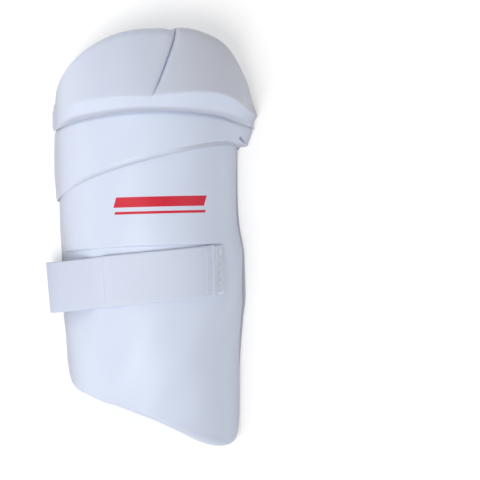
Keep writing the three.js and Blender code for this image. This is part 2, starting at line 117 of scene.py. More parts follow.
def rows_between(lines: list[np.ndarray], counts: list[int]) -> np.ndarray:
    """Rows in equal steps from each line to the next.

    Args:
        lines: Lines of one value per column, in order along Y.
        counts: Steps from each line to the next one.

    Returns:
        Places along Y, (rows, columns).
    """
    parts = [np.linspace(a, b, n, endpoint=False) for a, b, n in zip(lines, lines[1:], counts)]
    return np.concatenate([*parts, lines[-1][None]])


def border_gap(places: np.ndarray, border: np.ndarray) -> np.ndarray:
    """Distance from each flat place to the nearest stretch of a closed border.

    Args:
        places: Flat places, (..., 2).
        border: Corners of the border in order, (n, 2).

    Returns:
        Distances in the shape of places without its last axis.
    """
    step = np.roll(border, -1, axis=0) - border
    size = np.maximum((step**2).sum(-1), 1e-9)
    flat = places.reshape(-1, 2)
    found = []
    for block in np.array_split(flat, 1 + len(flat) // 4000):
        away = block[:, None] - border[None]
        along = np.clip((away * step).sum(-1) / size, 0.0, 1.0)
        found.append(np.sqrt(((away - along[..., None] * step) ** 2).sum(-1).min(1)))
    return np.concatenate(found).reshape(places.shape[:-1])


def unit(vectors: np.ndarray) -> np.ndarray:
    """Each vector divided by its length."""
    return vectors / np.maximum(np.linalg.norm(vectors, axis=-1, keepdims=True), 1e-9)


def closed_pad(outer: np.ndarray, inner: np.ndarray) -> tuple[np.ndarray, np.ndarray]:
    """Joins two faces over one grid into a closed body with a wall round its border.

    Args:
        outer: Outer face, (rows along Y, columns along X, 3).
        inner: Inner face in the same grid.

    Returns:
        Vertices (n, 3) and quads (m, 4) that face outwards.
    """
    rows, columns = outer.shape[:2]
    size = rows * columns
    index = np.arange(size).reshape(rows, columns)
    face = np.stack([index[:-1, :-1], index[:-1, 1:], index[1:, 1:], index[1:, :-1]], -1).reshape(-1, 4)
    border = np.concatenate([index[0, :-1], index[:-1, -1], index[-1, :0:-1], index[:0:-1, 0]])
    ahead = np.roll(border, -1)
    wall = np.stack([border + size, ahead + size, ahead, border], -1)
    points = np.concatenate([outer.reshape(-1, 3), inner.reshape(-1, 3)])
    return points, np.concatenate([face, face[:, ::-1] + size, wall])


def make_object(name: str, points: np.ndarray, quads: np.ndarray) -> bpy.types.Object:
    """Puts vertices in millimetres and quads into a smooth-shaded mesh object in metres.

    Args:
        name: Name of the piece.
        points: Vertices, (n, 3).
        quads: Corner numbers of each face, (m, 4).

    Returns:
        The new object, at the origin, linked to the scene.
    """
    mesh = bpy.data.meshes.new(name)
    mesh.vertices.add(len(points))
    mesh.vertices.foreach_set("co", (points * MM).astype(np.float32).ravel())
    mesh.loops.add(quads.size)
    mesh.loops.foreach_set("vertex_index", quads.astype(np.int32).ravel())
    mesh.polygons.add(len(quads))
    mesh.polygons.foreach_set("loop_start", np.arange(0, quads.size, 4, dtype=np.int32))
    mesh.polygons.foreach_set("use_smooth", np.ones(len(quads), dtype=bool))
    mesh.update(calc_edges=True)
    mesh.validate()
    piece = bpy.data.objects.new(name, mesh)
    bpy.context.scene.collection.objects.link(piece)
    return piece


def add_attribute(piece: bpy.types.Object, name: str, values: np.ndarray) -> None:
    """Stores one number or one vector per vertex under a name that a material can read.

    Args:
        piece: The object.
        name: Name of the attribute.
        values: Numbers (n,) or vectors (n, 3).
    """
    kind = "FLOAT" if values.ndim == 1 else "FLOAT_VECTOR"
    layer = piece.data.attributes.new(name, kind, "POINT")
    layer.data.foreach_set("value" if values.ndim == 1 else "vector", values.astype(np.float32).ravel())


def threads(paths: np.ndarray, radii: np.ndarray, up: np.ndarray) -> tuple[np.ndarray, np.ndarray]:
    """Six-sided threads along many short paths at once.

    A ring point is path + radius (cos a side + sin a rise), with side = along x up and
    rise = side x along. Both ends are closed by two quads each.

    Args:
        paths: Middle lines, (threads, stations, 3).
        radii: Radius at each station, (stations,).
        up: A direction across each thread, (threads, 3).

    Returns:
        Vertices and quads of all the threads.
    """
    ring = 6
    count, stations = paths.shape[:2]
    along = unit(np.gradient(paths, axis=1))
    side = unit(np.cross(along, up[:, None]))
    rise = np.cross(side, along)
    angle = np.linspace(0.0, 2.0 * math.pi, ring, endpoint=False)
    around = np.cos(angle)[:, None] * side[:, :, None] + np.sin(angle)[:, None] * rise[:, :, None]
    points = paths[:, :, None] + radii[None, :, None, None] * around
    index = np.arange(count * stations * ring).reshape(count, stations, ring)
    near, far = index[:, :-1], index[:, 1:]
    wall = np.stack([near, np.roll(near, -1, 2), np.roll(far, -1, 2), far], -1).reshape(-1, 4)
    caps = [index[:, end][:, corners] for end, corners in (
        (0, [3, 2, 1, 0]), (0, [5, 4, 3, 0]), (-1, [0, 1, 2, 3]), (-1, [0, 3, 4, 5]))]
    return points.reshape(-1, 3), np.concatenate([wall, *[cap.reshape(-1, 4) for cap in caps]])


# The form that every layer follows


@dataclass(frozen=True)
class ShellForm:
    """The arch of the guard: two straight walls joined by a round crest, at every place along Y."""

    length: float = 412.0
    half_width: float = 93.0
    height: float = 80.0
    left_lean: float = math.radians(57.0)
    right_lean: float = math.radians(66.0)
    left_foot: Curve = Curve((
        (-0.5, -0.885), (-0.391, -0.9), (-0.27, -0.942), (-0.188, -0.966), (-0.149, -0.973),
        (-0.058, -0.987), (-0.028, -0.991), (0.029, -1.009), (0.092, -1.019), (0.213, -1.027),
        (0.29, -1.018), (0.394, -1.022), (0.5, -1.025)))
    right_foot: Curve = Curve((
        (-0.5, 0.942), (-0.391, 0.952), (-0.27, 0.957), (-0.188, 0.981), (-0.149, 1.003),
        (-0.058, 0.994), (-0.028, 0.985), (0.029, 0.942), (0.092, 0.925), (0.213, 0.927),
        (0.29, 0.948), (0.394, 0.955), (0.5, 0.955)))
    crest: Curve = Curve((
        (-0.5, 0.93), (-0.391, 0.95), (-0.27, 0.98), (-0.188, 1.0), (-0.149, 1.0), (-0.058, 1.0),
        (-0.028, 1.0), (0.029, 1.01), (0.092, 1.01), (0.213, 1.01), (0.29, 0.99), (0.394, 0.9),
        (0.5, 0.74)))
    knee_edge: Curve = Curve((
        (-1.0, -0.297), (-0.97, -0.334), (-0.873, -0.3625), (-0.711, -0.378), (-0.334, -0.3995),
        (-0.074, -0.4235), (0.172, -0.4535), (0.421, -0.482), (0.6, -0.4945), (0.755, -0.4985),
        (0.902, -0.49), (0.975, -0.463), (1.0, -0.425)))
    middle_edge: Curve = Curve((
        (-1.0, 0.088), (-0.9, 0.0995), (-0.8, 0.112), (-0.643, 0.1295), (-0.397, 0.1497),
        (-0.139, 0.172), (0.086, 0.191), (0.324, 0.2078), (0.498, 0.2165), (0.7, 0.2215),
        (0.82, 0.2225), (0.92, 0.2205), (1.0, 0.2145)))
    lip_edge: Curve = Curve((
        (-1.0, 0.26), (-0.888, 0.2656), (-0.75, 0.2745), (-0.66, 0.2795), (-0.526, 0.284),
        (-0.324, 0.291), (-0.106, 0.2975), (0.1, 0.2993), (0.429, 0.2945), (0.659, 0.286),
        (0.86, 0.2728), (1.0, 0.262)))
    hip_edge: Curve = Curve((
        (-1.0, 0.315), (-0.97, 0.347), (-0.894, 0.38), (-0.795, 0.406), (-0.648, 0.4335),
        (-0.51, 0.457), (-0.303, 0.4835), (-0.095, 0.4962), (0.1, 0.4985), (0.305, 0.501),
        (0.444, 0.496), (0.641, 0.4755), (0.814, 0.434), (0.92, 0.388), (1.0, 0.327)))
    left_swell: float = 2.2
    right_swell: float = 1.2
    wave_depth: float = 0.28
    wave_lengths: tuple[tuple[float, float, float], ...] = (
        (71.0, 113.0, 0.4), (47.0, -83.0, 2.1), (-39.0, 61.0, 4.4))
    mean_girth: float = 125.0

    def line(self, curve: Curve, side: np.ndarray) -> np.ndarray:
        """Place along Y of one of the drawn lines, in millimetres."""
        return curve.at(side) * self.length

    def lip(self, side: np.ndarray) -> np.ndarray:
        """Place along Y of the hip pad's lip."""
        return self.line(self.lip_edge, side)

    def section(self, y: np.ndarray) -> tuple[np.ndarray, np.ndarray, np.ndarray]:
        """Crest height, crest radius and middle of the crest at each place along Y.

        The walls run straight from the feet, and the crest circle touches both and the crest height:
        radius = (right - left - crest / tan L - crest / tan R) / (tan(L / 2) + tan(R / 2)).

        Args:
            y: Places along the leg.

        Returns:
            Height, radius and middle, each in the shape of y.
        """
        at = y / self.length
        left = self.half_width * self.left_foot.at(at)
        right = self.half_width * self.right_foot.at(at)
        crest = self.height * self.crest.at(at)
        run = right - left - crest / math.tan(self.left_lean) - crest / math.tan(self.right_lean)
        radius = run / (math.tan(self.left_lean / 2) + math.tan(self.right_lean / 2))
        middle = left + radius * math.tan(self.left_lean / 2) + crest / math.tan(self.left_lean)
        return crest, radius, middle

    def girth(self, side: np.ndarray, y: np.ndarray) -> np.ndarray:
        """Length over the shell from the crest to one foot: the wall, plus radius times lean."""
        crest, radius, _ = self.section(y)
        lean = np.where(side < 0, self.left_lean, self.right_lean)
        return (crest - radius * (1.0 - np.cos(lean))) / np.sin(lean) + radius * lean

    def foot_gap(self, side: np.ndarray, y: np.ndarray) -> np.ndarray:
        """Distance over the shell to the nearer foot."""
        return (1.0 - np.abs(side)) * self.girth(side, y)

    def across_grid(self, toe: float, steps: int, columns: int, *more: np.ndarray) -> np.ndarray:
        """Places across for the columns of a grid: even ones, with closer ones at both rolled feet.

        Args:
            toe: Width of the rolled feet.
            steps: Columns in each rolled foot.
            columns: Even columns between them.
            *more: Other places that need columns.

        Returns:
            Places from -1 to 1, in order.
        """
        share = round_steps(toe, steps) / self.mean_girth
        even = np.linspace(share[-1] - 1.0, 1.0 - share[-1], columns)
        return np.unique(np.round(np.concatenate([share[:-1] - 1.0, even, *more, 1.0 - share[:-1]]), 6))

    def flat(self, side: np.ndarray, y: np.ndarray) -> np.ndarray:
        """The shell laid flat: (side girth, y)."""
        side, y = np.broadcast_arrays(side, y)
        return np.stack([side * self.girth(side, y), y], -1)

    def wave(self, side: np.ndarray, y: np.ndarray) -> np.ndarray:
        """Slow swells that moulded foam shows: a sum of three slanted sines."""
        x = side * self.half_width
        swells = [np.sin(2.0 * math.pi * (x / a + y / b) + c) for a, b, c in self.wave_lengths]
        return self.wave_depth * sum(swells)

    def point(self, side: np.ndarray, y: np.ndarray, lift: np.ndarray, foot: np.ndarray) -> np.ndarray:
        """The point over a place of the shell.

        On the crest: middle + (radius + lift) sin a, and the matching height; on the wall it then goes
        down to the height foot, where every layer ends level. The wall swells by t t (1 - t) over its
        peak of 4 / 27, t from 0 at its top to 1 at the foot, so that it grows steeper towards the foot.

        Args:
            side: Place across, -1 at the left foot, 0 at the crest, 1 at the right foot.
            y: Place along the leg.
            lift: Distance off the shell's outer face.
            foot: Height at which the wall ends.

        Returns:
            Points, (..., 3).
        """
        side, y, lift, foot = np.broadcast_arrays(side, y, lift, foot)
        crest, radius, middle = self.section(y)
        lean = np.where(side < 0, self.left_lean, self.right_lean)
        turn_share = radius * lean / self.girth(side, y)
        across = np.minimum(np.abs(side), 1.0)
        low = np.clip((across - turn_share) / (1.0 - turn_share), 0.0, 1.0)
        swell = np.where(side < 0, self.left_swell, self.right_swell) * 27.0 / 4.0 * low * low * (1.0 - low)
        lift = lift + self.wave(side, y) * (1.0 - smooth(0.9, 1.0, across)) + swell
        turned = lean * np.minimum(across / turn_share, 1.0)
        wall = (crest - radius + (radius + lift) * np.cos(lean) - foot) / np.sin(lean)
        down = wall * np.maximum(across - turn_share, 0.0) / (1.0 - turn_share)
        out = (radius + lift) * np.sin(turned) + down * np.cos(turned)
        x = middle + np.where(side < 0, -1.0, 1.0) * out
        z = crest - radius + (radius + lift) * np.cos(turned) - down * np.sin(turned)
        return np.stack([x, y, z], -1)

    def outline_gap(self, side: np.ndarray, y: np.ndarray, low: Line, high: Line) -> np.ndarray:
        """Distance over the shell to the border of a pad.

        Args:
            side: Places across.
            y: Places along.
            low: The pad's knee-side line, as a function of side.
            high: The pad's hip-side line.

        Returns:
            Distances in millimetres.
        """
        across = np.linspace(-1.0, 1.0, 241)
        back = across[::-1]
        border = np.concatenate([self.flat(across, low(across)), self.flat(back, high(back))])
        return border_gap(self.flat(side, y), border)

    def line_gap(self, side: np.ndarray, y: np.ndarray, line: Line, stretches: int) -> np.ndarray:
        """Distance over the shell to one line, drawn out and back so that it has no closing stretch.

        Args:
            side: Places across.
            y: Places along.
            line: The line, as a function of side.
            stretches: Straight stretches that stand for it.

        Returns:
            Distances in millimetres.
        """
        across = np.linspace(-1.0, 1.0, stretches + 1)
        out = self.flat(across, line(across))
        return border_gap(self.flat(side, y), np.concatenate([out, out[::-1]]))


SHELL = ShellForm()


@dataclass(frozen=True)
class SeatForm:
    """The moulded seat of the strap: a step at its upper edge that runs out to nothing below."""

    depth: float = 2.2
    wall: float = 1.8
    end_room: float = 0.02
    end_start: float = 0.655
    end_stop: float = 0.705
    end_lean: float = -0.0013
    end_middle: float = -30.0
    left_fade: tuple[float, float] = (-1.0, -0.78)
    top: Curve = Curve(((-1.0, -0.031), (-0.81, -0.0292), (-0.246, -0.0185), (0.61, -0.0115), (1.0, -0.01)))
    bottom: Curve = Curve(((-1.0, -0.17), (-0.334, -0.15), (0.6, -0.1265), (1.0, -0.12)))

    def hollow(self, side: np.ndarray, y: np.ndarray) -> np.ndarray:
        """Depth: a ramp from the lower line to the upper one, cut off by the step and the right end's wall.

        Args:
            side: Places across.
            y: Places along.

        Returns:
            Depths in millimetres.
        """
        top = SHELL.line(self.top, side)
        bottom = SHELL.line(self.bottom, side)
        ramp = np.clip((y - bottom) / (top - bottom), 0.0, 1.0)
        before_top = 1.0 - smooth(0.0, 1.0, (y - top + self.wall) / self.wall)
        shift = self.end_lean * (y - self.end_middle)
        before_end = 1.0 - smooth(self.end_start, self.end_stop, side - shift)
        return self.depth * ramp * before_top * before_end * smooth(*self.left_fade, side)

    def under_strap(self, side: np.ndarray, y: np.ndarray) -> np.ndarray:
        """Depth that the strap and the patch follow: the seat's own, without the wall at its right end."""
        return self.hollow(np.minimum(side, self.end_start - self.end_room), y)


SEAT = SeatForm()


# Finishes


def linear(code: str) -> tuple[float, float, float, float]:
    """A colour written as sRGB hex, as the linear numbers that a shader takes."""
    shares = [int(code[i:i + 2], 16) / 255.0 for i in (0, 2, 4)]
    return (*[s / 12.92 if s <= 0.04045 else ((s + 0.055) / 1.055) ** 2.4 for s in shares], 1.0)


def add_node(tree: bpy.types.NodeTree, kind: str, inputs: dict | None = None, **settings) -> bpy.types.Node:
    """Adds a node with its settings, values and links.

    Args:
        tree: The node tree.
        kind: Blender's name of the node.
        inputs: Value, or socket to link from, for each input by name or number.
        **settings: Properties of the node.

    Returns:
        The node.
    """
    node = tree.nodes.new(kind)
    for name, value in settings.items():
        setattr(node, name, value)
    for key, value in (inputs or {}).items():
        if isinstance(value, bpy.types.NodeSocket):
            tree.links.new(value, node.inputs[key])
        else:
            node.inputs[key].default_value = value
    return node


def new_material(name: str) -> tuple[bpy.types.Material, bpy.types.NodeTree]:
    """A node material with its output and its Principled surface.

    Args:
        name: Name of the real material.

    Returns:
        The material and its node tree.
    """
    material = bpy.data.materials.new(name)
    material.use_nodes = True
    tree = material.node_tree
    tree.nodes.clear()
    surface = add_node(tree, "ShaderNodeBsdfPrincipled", name="surface")
    add_node(tree, "ShaderNodeOutputMaterial", {"Surface": surface.outputs["BSDF"]})
    return material, tree


def mottled(tree: bpy.types.NodeTree, code: str, scale: float, detail: float,
            tones: tuple[float, float]) -> tuple[bpy.types.NodeSocket, bpy.types.NodeSocket]:
    """A colour whose tone varies with a fine noise.

    Args:
        tree: The node tree.
        code: The colour, as sRGB hex.
        scale: Spots of the noise in a metre.
        detail: Finer layers of the noise.
        tones: Least and greatest share of the colour.

    Returns:
        The sockets with the colour and with the noise.
    """
    place = add_node(tree, "ShaderNodeTexCoord").outputs["Object"]
    noise = add_node(tree, "ShaderNodeTexNoise", {"Vector": place, "Scale": scale, "Detail": detail})
    tone = add_node(tree, "ShaderNodeMapRange", {
        "Value": noise.outputs["Fac"], "From Min": 0.3, "From Max": 0.7,
        "To Min": tones[0], "To Max": tones[1]})
    tinted = add_node(tree, "ShaderNodeVectorMath", {
        0: linear(code)[:3], "Scale": tone.outputs["Result"]}, operation="SCALE")
    return tinted.outputs[0], noise.outputs["Fac"]


@dataclass(frozen=True)
class PrintedBar:
    """A plain bar printed on the skin: middle, size, turn and slant in millimetres and degrees."""

    x: float
    y: float
    width: float
    height: float
    turn: float
    slant: float = 0.3


@dataclass(frozen=True)
class MouldedSkin:
    """Polyurethane skin over moulded foam, with a brushed knit lining on the side of the leg."""

    colour: str = "DCE5F7"
    shade: str = "D8E1F4"
    # The next two colours multiply the skin where shade is painted: at borders, lower walls and creases,
    # and on the hip pad's outer lobe, whose face turns from the light.
    rubbed: str = "E3DDDB"
    aged: str = "F4EEE9"
    lining: str = "CBD1DC"
    print_colour: str = "D7233A"
    roughness: float = 0.46
    grain_mm: float = 0.8
    knit_mm: float = 1.6
    bars: tuple[PrintedBar, PrintedBar] = (
        PrintedBar(10.0, 35.6, 88.0, 10.0, 1.5),
        PrintedBar(10.0, 25.2, 88.0, 2.6, 1.5),
    )

    def material(self) -> bpy.types.Material:
        """Skin and lining in one material, told apart by the attribute lining.

        The eye sees a bluish white with a broad soft gloss, and a fine pebble only from close by. Painted
        shade darkens the skin at its borders, lower walls and creases, and on the hip pad's outer lobe,
        whose face turns away from the light; there the painted shade is also a little warmer.

        Returns:
            The material.
        """
        material, tree = new_material("moulded_pu_skin")
        surface = tree.nodes["surface"]
        place = add_node(tree, "ShaderNodeTexCoord").outputs["Object"]
        lining = add_node(tree, "ShaderNodeAttribute", attribute_name="lining").outputs["Fac"]
        patches = add_node(tree, "ShaderNodeTexNoise", {"Vector": place, "Scale": 22.0, "Detail": 3.0})
        tone = add_node(tree, "ShaderNodeMix", {
            "Factor": patches.outputs["Fac"], "A": linear(self.colour), "B": linear(self.shade)},
                        data_type="RGBA")
        printed = self.print_mask(tree, place)
        outside = add_node(tree, "ShaderNodeMath", {0: printed, 1: lining},
                           operation="SUBTRACT", use_clamp=True)
        painted_tone = tone.outputs["Result"]
        # Painted shade: both attributes darken the tone where the pad turns from the light or shade falls
        # in creases.
        for layer, tint in (("rubbed", self.rubbed), ("aged", self.aged)):
            amount = add_node(tree, "ShaderNodeAttribute", attribute_name=layer).outputs["Fac"]
            painted_tone = add_node(tree, "ShaderNodeMix", {"Factor": amount, "A": painted_tone, "B": linear(tint)},
                            data_type="RGBA", blend_type="MULTIPLY").outputs["Result"]
        inked = add_node(tree, "ShaderNodeMix", {
            "Factor": outside.outputs[0], "A": painted_tone, "B": linear(self.print_colour)}, data_type="RGBA")
        dressed = add_node(tree, "ShaderNodeMix", {
            "Factor": lining, "A": inked.outputs["Result"], "B": linear(self.lining)}, data_type="RGBA")
        dull = add_node(tree, "ShaderNodeMapRange", {
            "Value": lining, "To Min": self.roughness, "To Max": 0.9})
        cells = [add_node(tree, "ShaderNodeTexVoronoi", {"Vector": place, "Scale": 1.0 / (pitch * MM)},
                          feature=feature).outputs["Distance"]
                 for pitch, feature in ((self.grain_mm, "SMOOTH_F1"), (self.knit_mm, "DISTANCE_TO_EDGE"))]
        relief = add_node(tree, "ShaderNodeMix", {"Factor": lining, "A": cells[0], "B": cells[1]})
        bump = add_node(tree, "ShaderNodeBump", {
            "Height": relief.outputs["Result"], "Strength": 0.22, "Distance": 0.08 * MM})
        tree.links.new(dressed.outputs["Result"], surface.inputs["Base Color"])
        tree.links.new(dull.outputs["Result"], surface.inputs["Roughness"])
        tree.links.new(bump.outputs["Normal"], surface.inputs["Normal"])
        surface.inputs["IOR"].default_value = 1.48
        surface.inputs["Specular IOR Level"].default_value = 0.42
        return material

    def print_mask(self, tree: bpy.types.NodeTree, place: bpy.types.NodeSocket) -> bpy.types.NodeSocket:
        """Mask of the printed bars seen from the front: 1 where max(|u| / width, |v| / height) < 1 / 2.

        Args:
            tree: The node tree.
            place: Object coordinates in metres.

        Returns:
            The socket with the mask.
        """
        masks = []
        for bar in self.bars:
            local = add_node(tree, "ShaderNodeMapping", {
                "Vector": place,
                "Location": (bar.x * MM, bar.y * MM, 0.0),
                "Rotation": (0.0, 0.0, math.radians(bar.turn)),
                "Scale": (MM, MM, MM)}, vector_type="TEXTURE")
            parts = add_node(tree, "ShaderNodeSeparateXYZ", {"Vector": local.outputs[0]})
            leaned = add_node(tree, "ShaderNodeMath", {
                0: parts.outputs["Y"], 1: -bar.slant, 2: parts.outputs["X"]}, operation="MULTIPLY_ADD")
            beyond = []
            for value, size in ((leaned.outputs[0], bar.width), (parts.outputs["Y"], bar.height)):
                span = add_node(tree, "ShaderNodeMath", {0: value}, operation="ABSOLUTE")
                beyond.append(add_node(tree, "ShaderNodeMath", {0: span.outputs[0], 1: size / 2},
                                       operation="SUBTRACT").outputs[0])
            outer = add_node(tree, "ShaderNodeMath", {0: beyond[0], 1: beyond[1]}, operation="MAXIMUM")
            mask = add_node(tree, "ShaderNodeMapRange", {
                "Value": outer.outputs[0], "From Min": 0.2, "From Max": -0.2})
            masks.append(mask.outputs["Result"])
        joined = add_node(tree, "ShaderNodeMath", {0: masks[0], 1: masks[1]}, operation="MAXIMUM")
        return joined.outputs[0]


@dataclass(frozen=True)
class WovenTape:
    """A narrow woven band.

    Its attribute weave holds millimetres along and across it; a second attribute holds how much painted
    shade darkens it.
    """

    name: str
    colour: str
    rib_mm: float
    pick_mm: float
    relief_mm: float
    fuzz: float
    roughness: float = 0.85
    # Colour that multiplies the band where shade is painted.
    rubbed: str = "D6D7DA"

    def material(self) -> bpy.types.Material:
        """Ribs along the band crossed by finer picks: a matt band with a faint grain and fuzz.

        Returns:
            The material.
        """
        material, tree = new_material(self.name)
        surface = tree.nodes["surface"]
        weave = add_node(tree, "ShaderNodeAttribute", attribute_name="weave").outputs["Vector"]
        parts = add_node(tree, "ShaderNodeSeparateXYZ", {"Vector": weave})
        waves = []
        for axis, pitch in (("X", self.pick_mm), ("Y", self.rib_mm)):
            turned = add_node(tree, "ShaderNodeMath", {0: parts.outputs[axis], 1: 2.0 * math.pi / pitch},
                              operation="MULTIPLY")
            wave = add_node(tree, "ShaderNodeMath", {0: turned.outputs[0]}, operation="SINE")
            waves.append(wave.outputs[0])
        crossed = add_node(tree, "ShaderNodeMath", {0: waves[0], 1: waves[1]}, operation="MULTIPLY")
        colour, fuzz = mottled(tree, self.colour, 900.0, 4.0, (0.97, 1.03))
        height = add_node(tree, "ShaderNodeMath", {
            0: fuzz, 1: self.fuzz * 4.0, 2: crossed.outputs[0]}, operation="MULTIPLY_ADD")
        # Painted shade: the attribute darkens the band, as on the elastic's bend.
        amount = add_node(tree, "ShaderNodeAttribute", attribute_name="rubbed").outputs["Fac"]
        painted_tone = add_node(tree, "ShaderNodeMix", {"Factor": amount, "A": colour, "B": linear(self.rubbed)},
                        data_type="RGBA", blend_type="MULTIPLY")
        bump = add_node(tree, "ShaderNodeBump", {
            "Height": height.outputs[0], "Strength": 0.5, "Distance": self.relief_mm * MM})
        tree.links.new(painted_tone.outputs["Result"], surface.inputs["Base Color"])
        tree.links.new(bump.outputs["Normal"], surface.inputs["Normal"])
        surface.inputs["Roughness"].default_value = self.roughness
        surface.inputs["Specular IOR Level"].default_value = 0.2
        surface.inputs["Sheen Weight"].default_value = 0.12
        surface.inputs["Sheen Roughness"].default_value = 0.5
        return material


@dataclass(frozen=True)
class Fibre:
    """Plain polyester or nylon thread, for stitches and pile: matt, one dyed colour, faint sheen."""

    name: str
    colour: str
    roughness: float = 0.7

    def material(self) -> bpy.types.Material:
        """Thread whose tone varies a little from one place to the next.

        Returns:
            The material.
        """
        material, tree = new_material(self.name)
        surface = tree.nodes["surface"]
        colour, _ = mottled(tree, self.colour, 700.0, 2.0, (0.88, 1.06))
        tree.links.new(colour, surface.inputs["Base Color"])
        surface.inputs["Roughness"].default_value = self.roughness
        surface.inputs["Sheen Weight"].default_value = 0.15
        return material


SKIN = MouldedSkin()
ELASTIC = WovenTape("knitted_elastic", "D6DDEF", rib_mm=1.5, pick_mm=1.1, relief_mm=0.08, fuzz=0.2)
HOOK_TAPE = WovenTape("woven_hook_tape", "D8DFF0", rib_mm=1.2, pick_mm=0.9, relief_mm=0.07, fuzz=0.25)
LOOP_PILE = WovenTape("nylon_loop_pile", "ECF4FF", rib_mm=1.3, pick_mm=1.0, relief_mm=0.12, fuzz=0.5)
THREAD = Fibre("bonded_nylon_thread", "D6DCEB")
PILE = Fibre("nylon_pile_loops", "ECF4FF", roughness=0.9)


# Sub-assemblies


def fit(piece: bpy.types.Object, material: bpy.types.Material, slot: Slot, *nodes: str) -> bpy.types.Object:
    """Gives a piece its material and its body, and hides the CAD nodes it stands for.

    Args:
        piece: The new object.
        material: Its finish.
        slot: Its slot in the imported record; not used.
        *nodes: CAD nodes that it replaces.

    Returns:
        The piece.
    """
    piece.data.materials.append(material)
    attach(piece, "root")
    if nodes:
        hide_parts(*nodes)
    return piece


@dataclass
class PadBody:
    """One moulded pad: makes its closed mesh from two faces and marks the lining."""

    name: str
    node: str
    fill: float = 0.95
    # Painted shade towards the feet and along the border, one value for the left and one for the right.
    shade_start: tuple[float, float] = (12.0, 5.0)
    shade_fade: tuple[float, float] = (14.0, 9.0)
    edge_shade: tuple[float, float] = (0.45, 0.45)
    edge_fade: tuple[float, float] = (4.0, 4.0)
    right_from: tuple[float, float] = (0.2, 0.7)

    def painted_shading(self, side: np.ndarray, y: np.ndarray, border: np.ndarray) -> np.ndarray:
        """How much painted shade darkens the skin, where the walls turn from the light and along the
        border.

        It is exp((a - foot gap) / b) up to 1, or c exp(-border gap / d) where that is more. The pairs a
        to d hold one value for the left and one for the right.

        Args:
            side: Places across.
            y: Places along.
            border: Distance to the pad's border.

        Returns:
            Shares from 0 to 1.
        """
        right = smooth(*self.right_from, side)
        above = np.minimum(blend(*self.shade_start, right) - SHELL.foot_gap(side, y), 0.0)
        low_wall = np.exp(above / blend(*self.shade_fade, right))
        at_border = blend(*self.edge_shade, right) * np.exp(-border / blend(*self.edge_fade, right))
        return np.maximum(low_wall, at_border)

    def dress(self, outer: np.ndarray, inner: np.ndarray, material: bpy.types.Material,
              **layers: np.ndarray) -> bpy.types.Object:
        """Turns the two faces into the finished piece.

        Args:
            outer: Outer face, (rows, columns, 3).
            inner: Inner face.
            material: The skin.
            **layers: Shares on the outer face that the skin reads by name, (rows, columns).

        Returns:
            The piece.
        """
        points, quads = closed_pad(outer, inner)
        piece = make_object(self.name, points, quads)
        size = outer.shape[0] * outer.shape[1]
        add_attribute(piece, "lining", (np.arange(2 * size) >= size).astype(float))
        for name, share in layers.items():
            add_attribute(piece, name, np.concatenate([share.ravel(), np.zeros(size)]))
        fit(piece, material, Slot.SKIN, self.node)
        return piece


def rolled_foot(side: np.ndarray, y: np.ndarray, face: np.ndarray) -> np.ndarray:
    """Height of a pad's face, rolled down towards 1 mm over the last 4 mm before either foot.

    Args:
        side: Places across.
        y: Places along.
        face: Heights of the face.

    Returns:
        The heights with the rolled feet.
    """
    reach = 4.0
    return face - roll(SHELL.foot_gap(side, y), reach, np.clip(face - 1.0, 0.0, reach))


@dataclass
class BaseShell:
    """The long foam shell that wraps the front of the thigh, with the strap's seat across it."""

    thickness: float = 13.0
    toe: float = 5.0
    toe_steps: int = 7
    lining_round: float = 3.5
    top_inset: float = 5.0
    left_foot: float = 1.9
    # A painted shadow along the strap's upper edge on the shell.
    strap_shadow: float = 0.75
    strap_shadow_width: float = 1.3
    strap_shadow_left: tuple[float, float] = (-0.8, -0.6)
    strap_shadow_past: float = 0.05
    columns: int = 150
    seat_columns: int = 12
    row_counts: tuple[int, ...] = (64, 30, 5, 110)
    body: PadBody = field(default_factory=lambda: PadBody("foam_shell", "base_pad"))

    def low(self, side: np.ndarray) -> np.ndarray:
        """Knee-side border."""
        return SHELL.line(SHELL.knee_edge, side)

    def high(self, side: np.ndarray) -> np.ndarray:
        """Hip-side border, tucked below the hip pad's rim."""
        return SHELL.line(SHELL.hip_edge, side) - self.top_inset

    def build(self, material: bpy.types.Material) -> bpy.types.Object:
        """Two faces over one grid: the outer one with the seat and the rolled toe, the inner one below it.

        Args:
            material: The skin.

        Returns:
            The dressed shell.
        """
        ends = np.linspace(SEAT.end_start - SEAT.end_room, SEAT.end_stop + SEAT.end_room, self.seat_columns)
        side = SHELL.across_grid(self.toe, self.toe_steps, self.columns, ends)
        low, high = self.low(side), self.high(side)
        rim = round_steps(self.toe, self.toe_steps)
        seat_low, seat_high = SHELL.line(SEAT.bottom, side), SHELL.line(SEAT.top, side)
        lines = [*(low + step for step in rim), seat_low, seat_high - SEAT.wall, seat_high,
                 *(high - step for step in rim[::-1])]
        counts = [1] * self.toe_steps + [*self.row_counts] + [1] * self.toe_steps
        y = rows_between(lines, counts)
        gap = SHELL.outline_gap(side, y, self.low, self.high)
        foot = np.where(side < 0, self.left_foot, 0.0)
        outer = SHELL.point(side, y, -SEAT.hollow(side, y) - roll(gap, self.toe, self.toe), foot)
        lining = roll(gap, self.lining_round, self.lining_round) - self.thickness
        inner = SHELL.point(side, y, lining, foot)
        # Painted shade towards the feet and border, with a painted shadow under the strap's upper edge.
        rubbed = np.maximum(self.body.painted_shading(side, y, gap), self.strap_shadow_line(side, y))
        return self.body.dress(outer, inner, material, rubbed=rubbed)

    def strap_shadow_line(self, side: np.ndarray, y: np.ndarray) -> np.ndarray:
        """Painted shadow line along the strap's upper edge: depth exp(-(distance / width)^2), with faded
        ends.

        Args:
            side: Places across.
            y: Places along.

        Returns:
            Shares from 0 to 1.
        """
        strap = LegStrap()
        away = (y - strap.front_centre(side) - strap.width / 2) / self.strap_shadow_width
        before_end = 1.0 - smooth(strap.tab_end, strap.patch_end + self.strap_shadow_past, side)
        ends = smooth(*self.strap_shadow_left, side) * before_end
        return self.strap_shadow * np.exp(-away * away) * ends


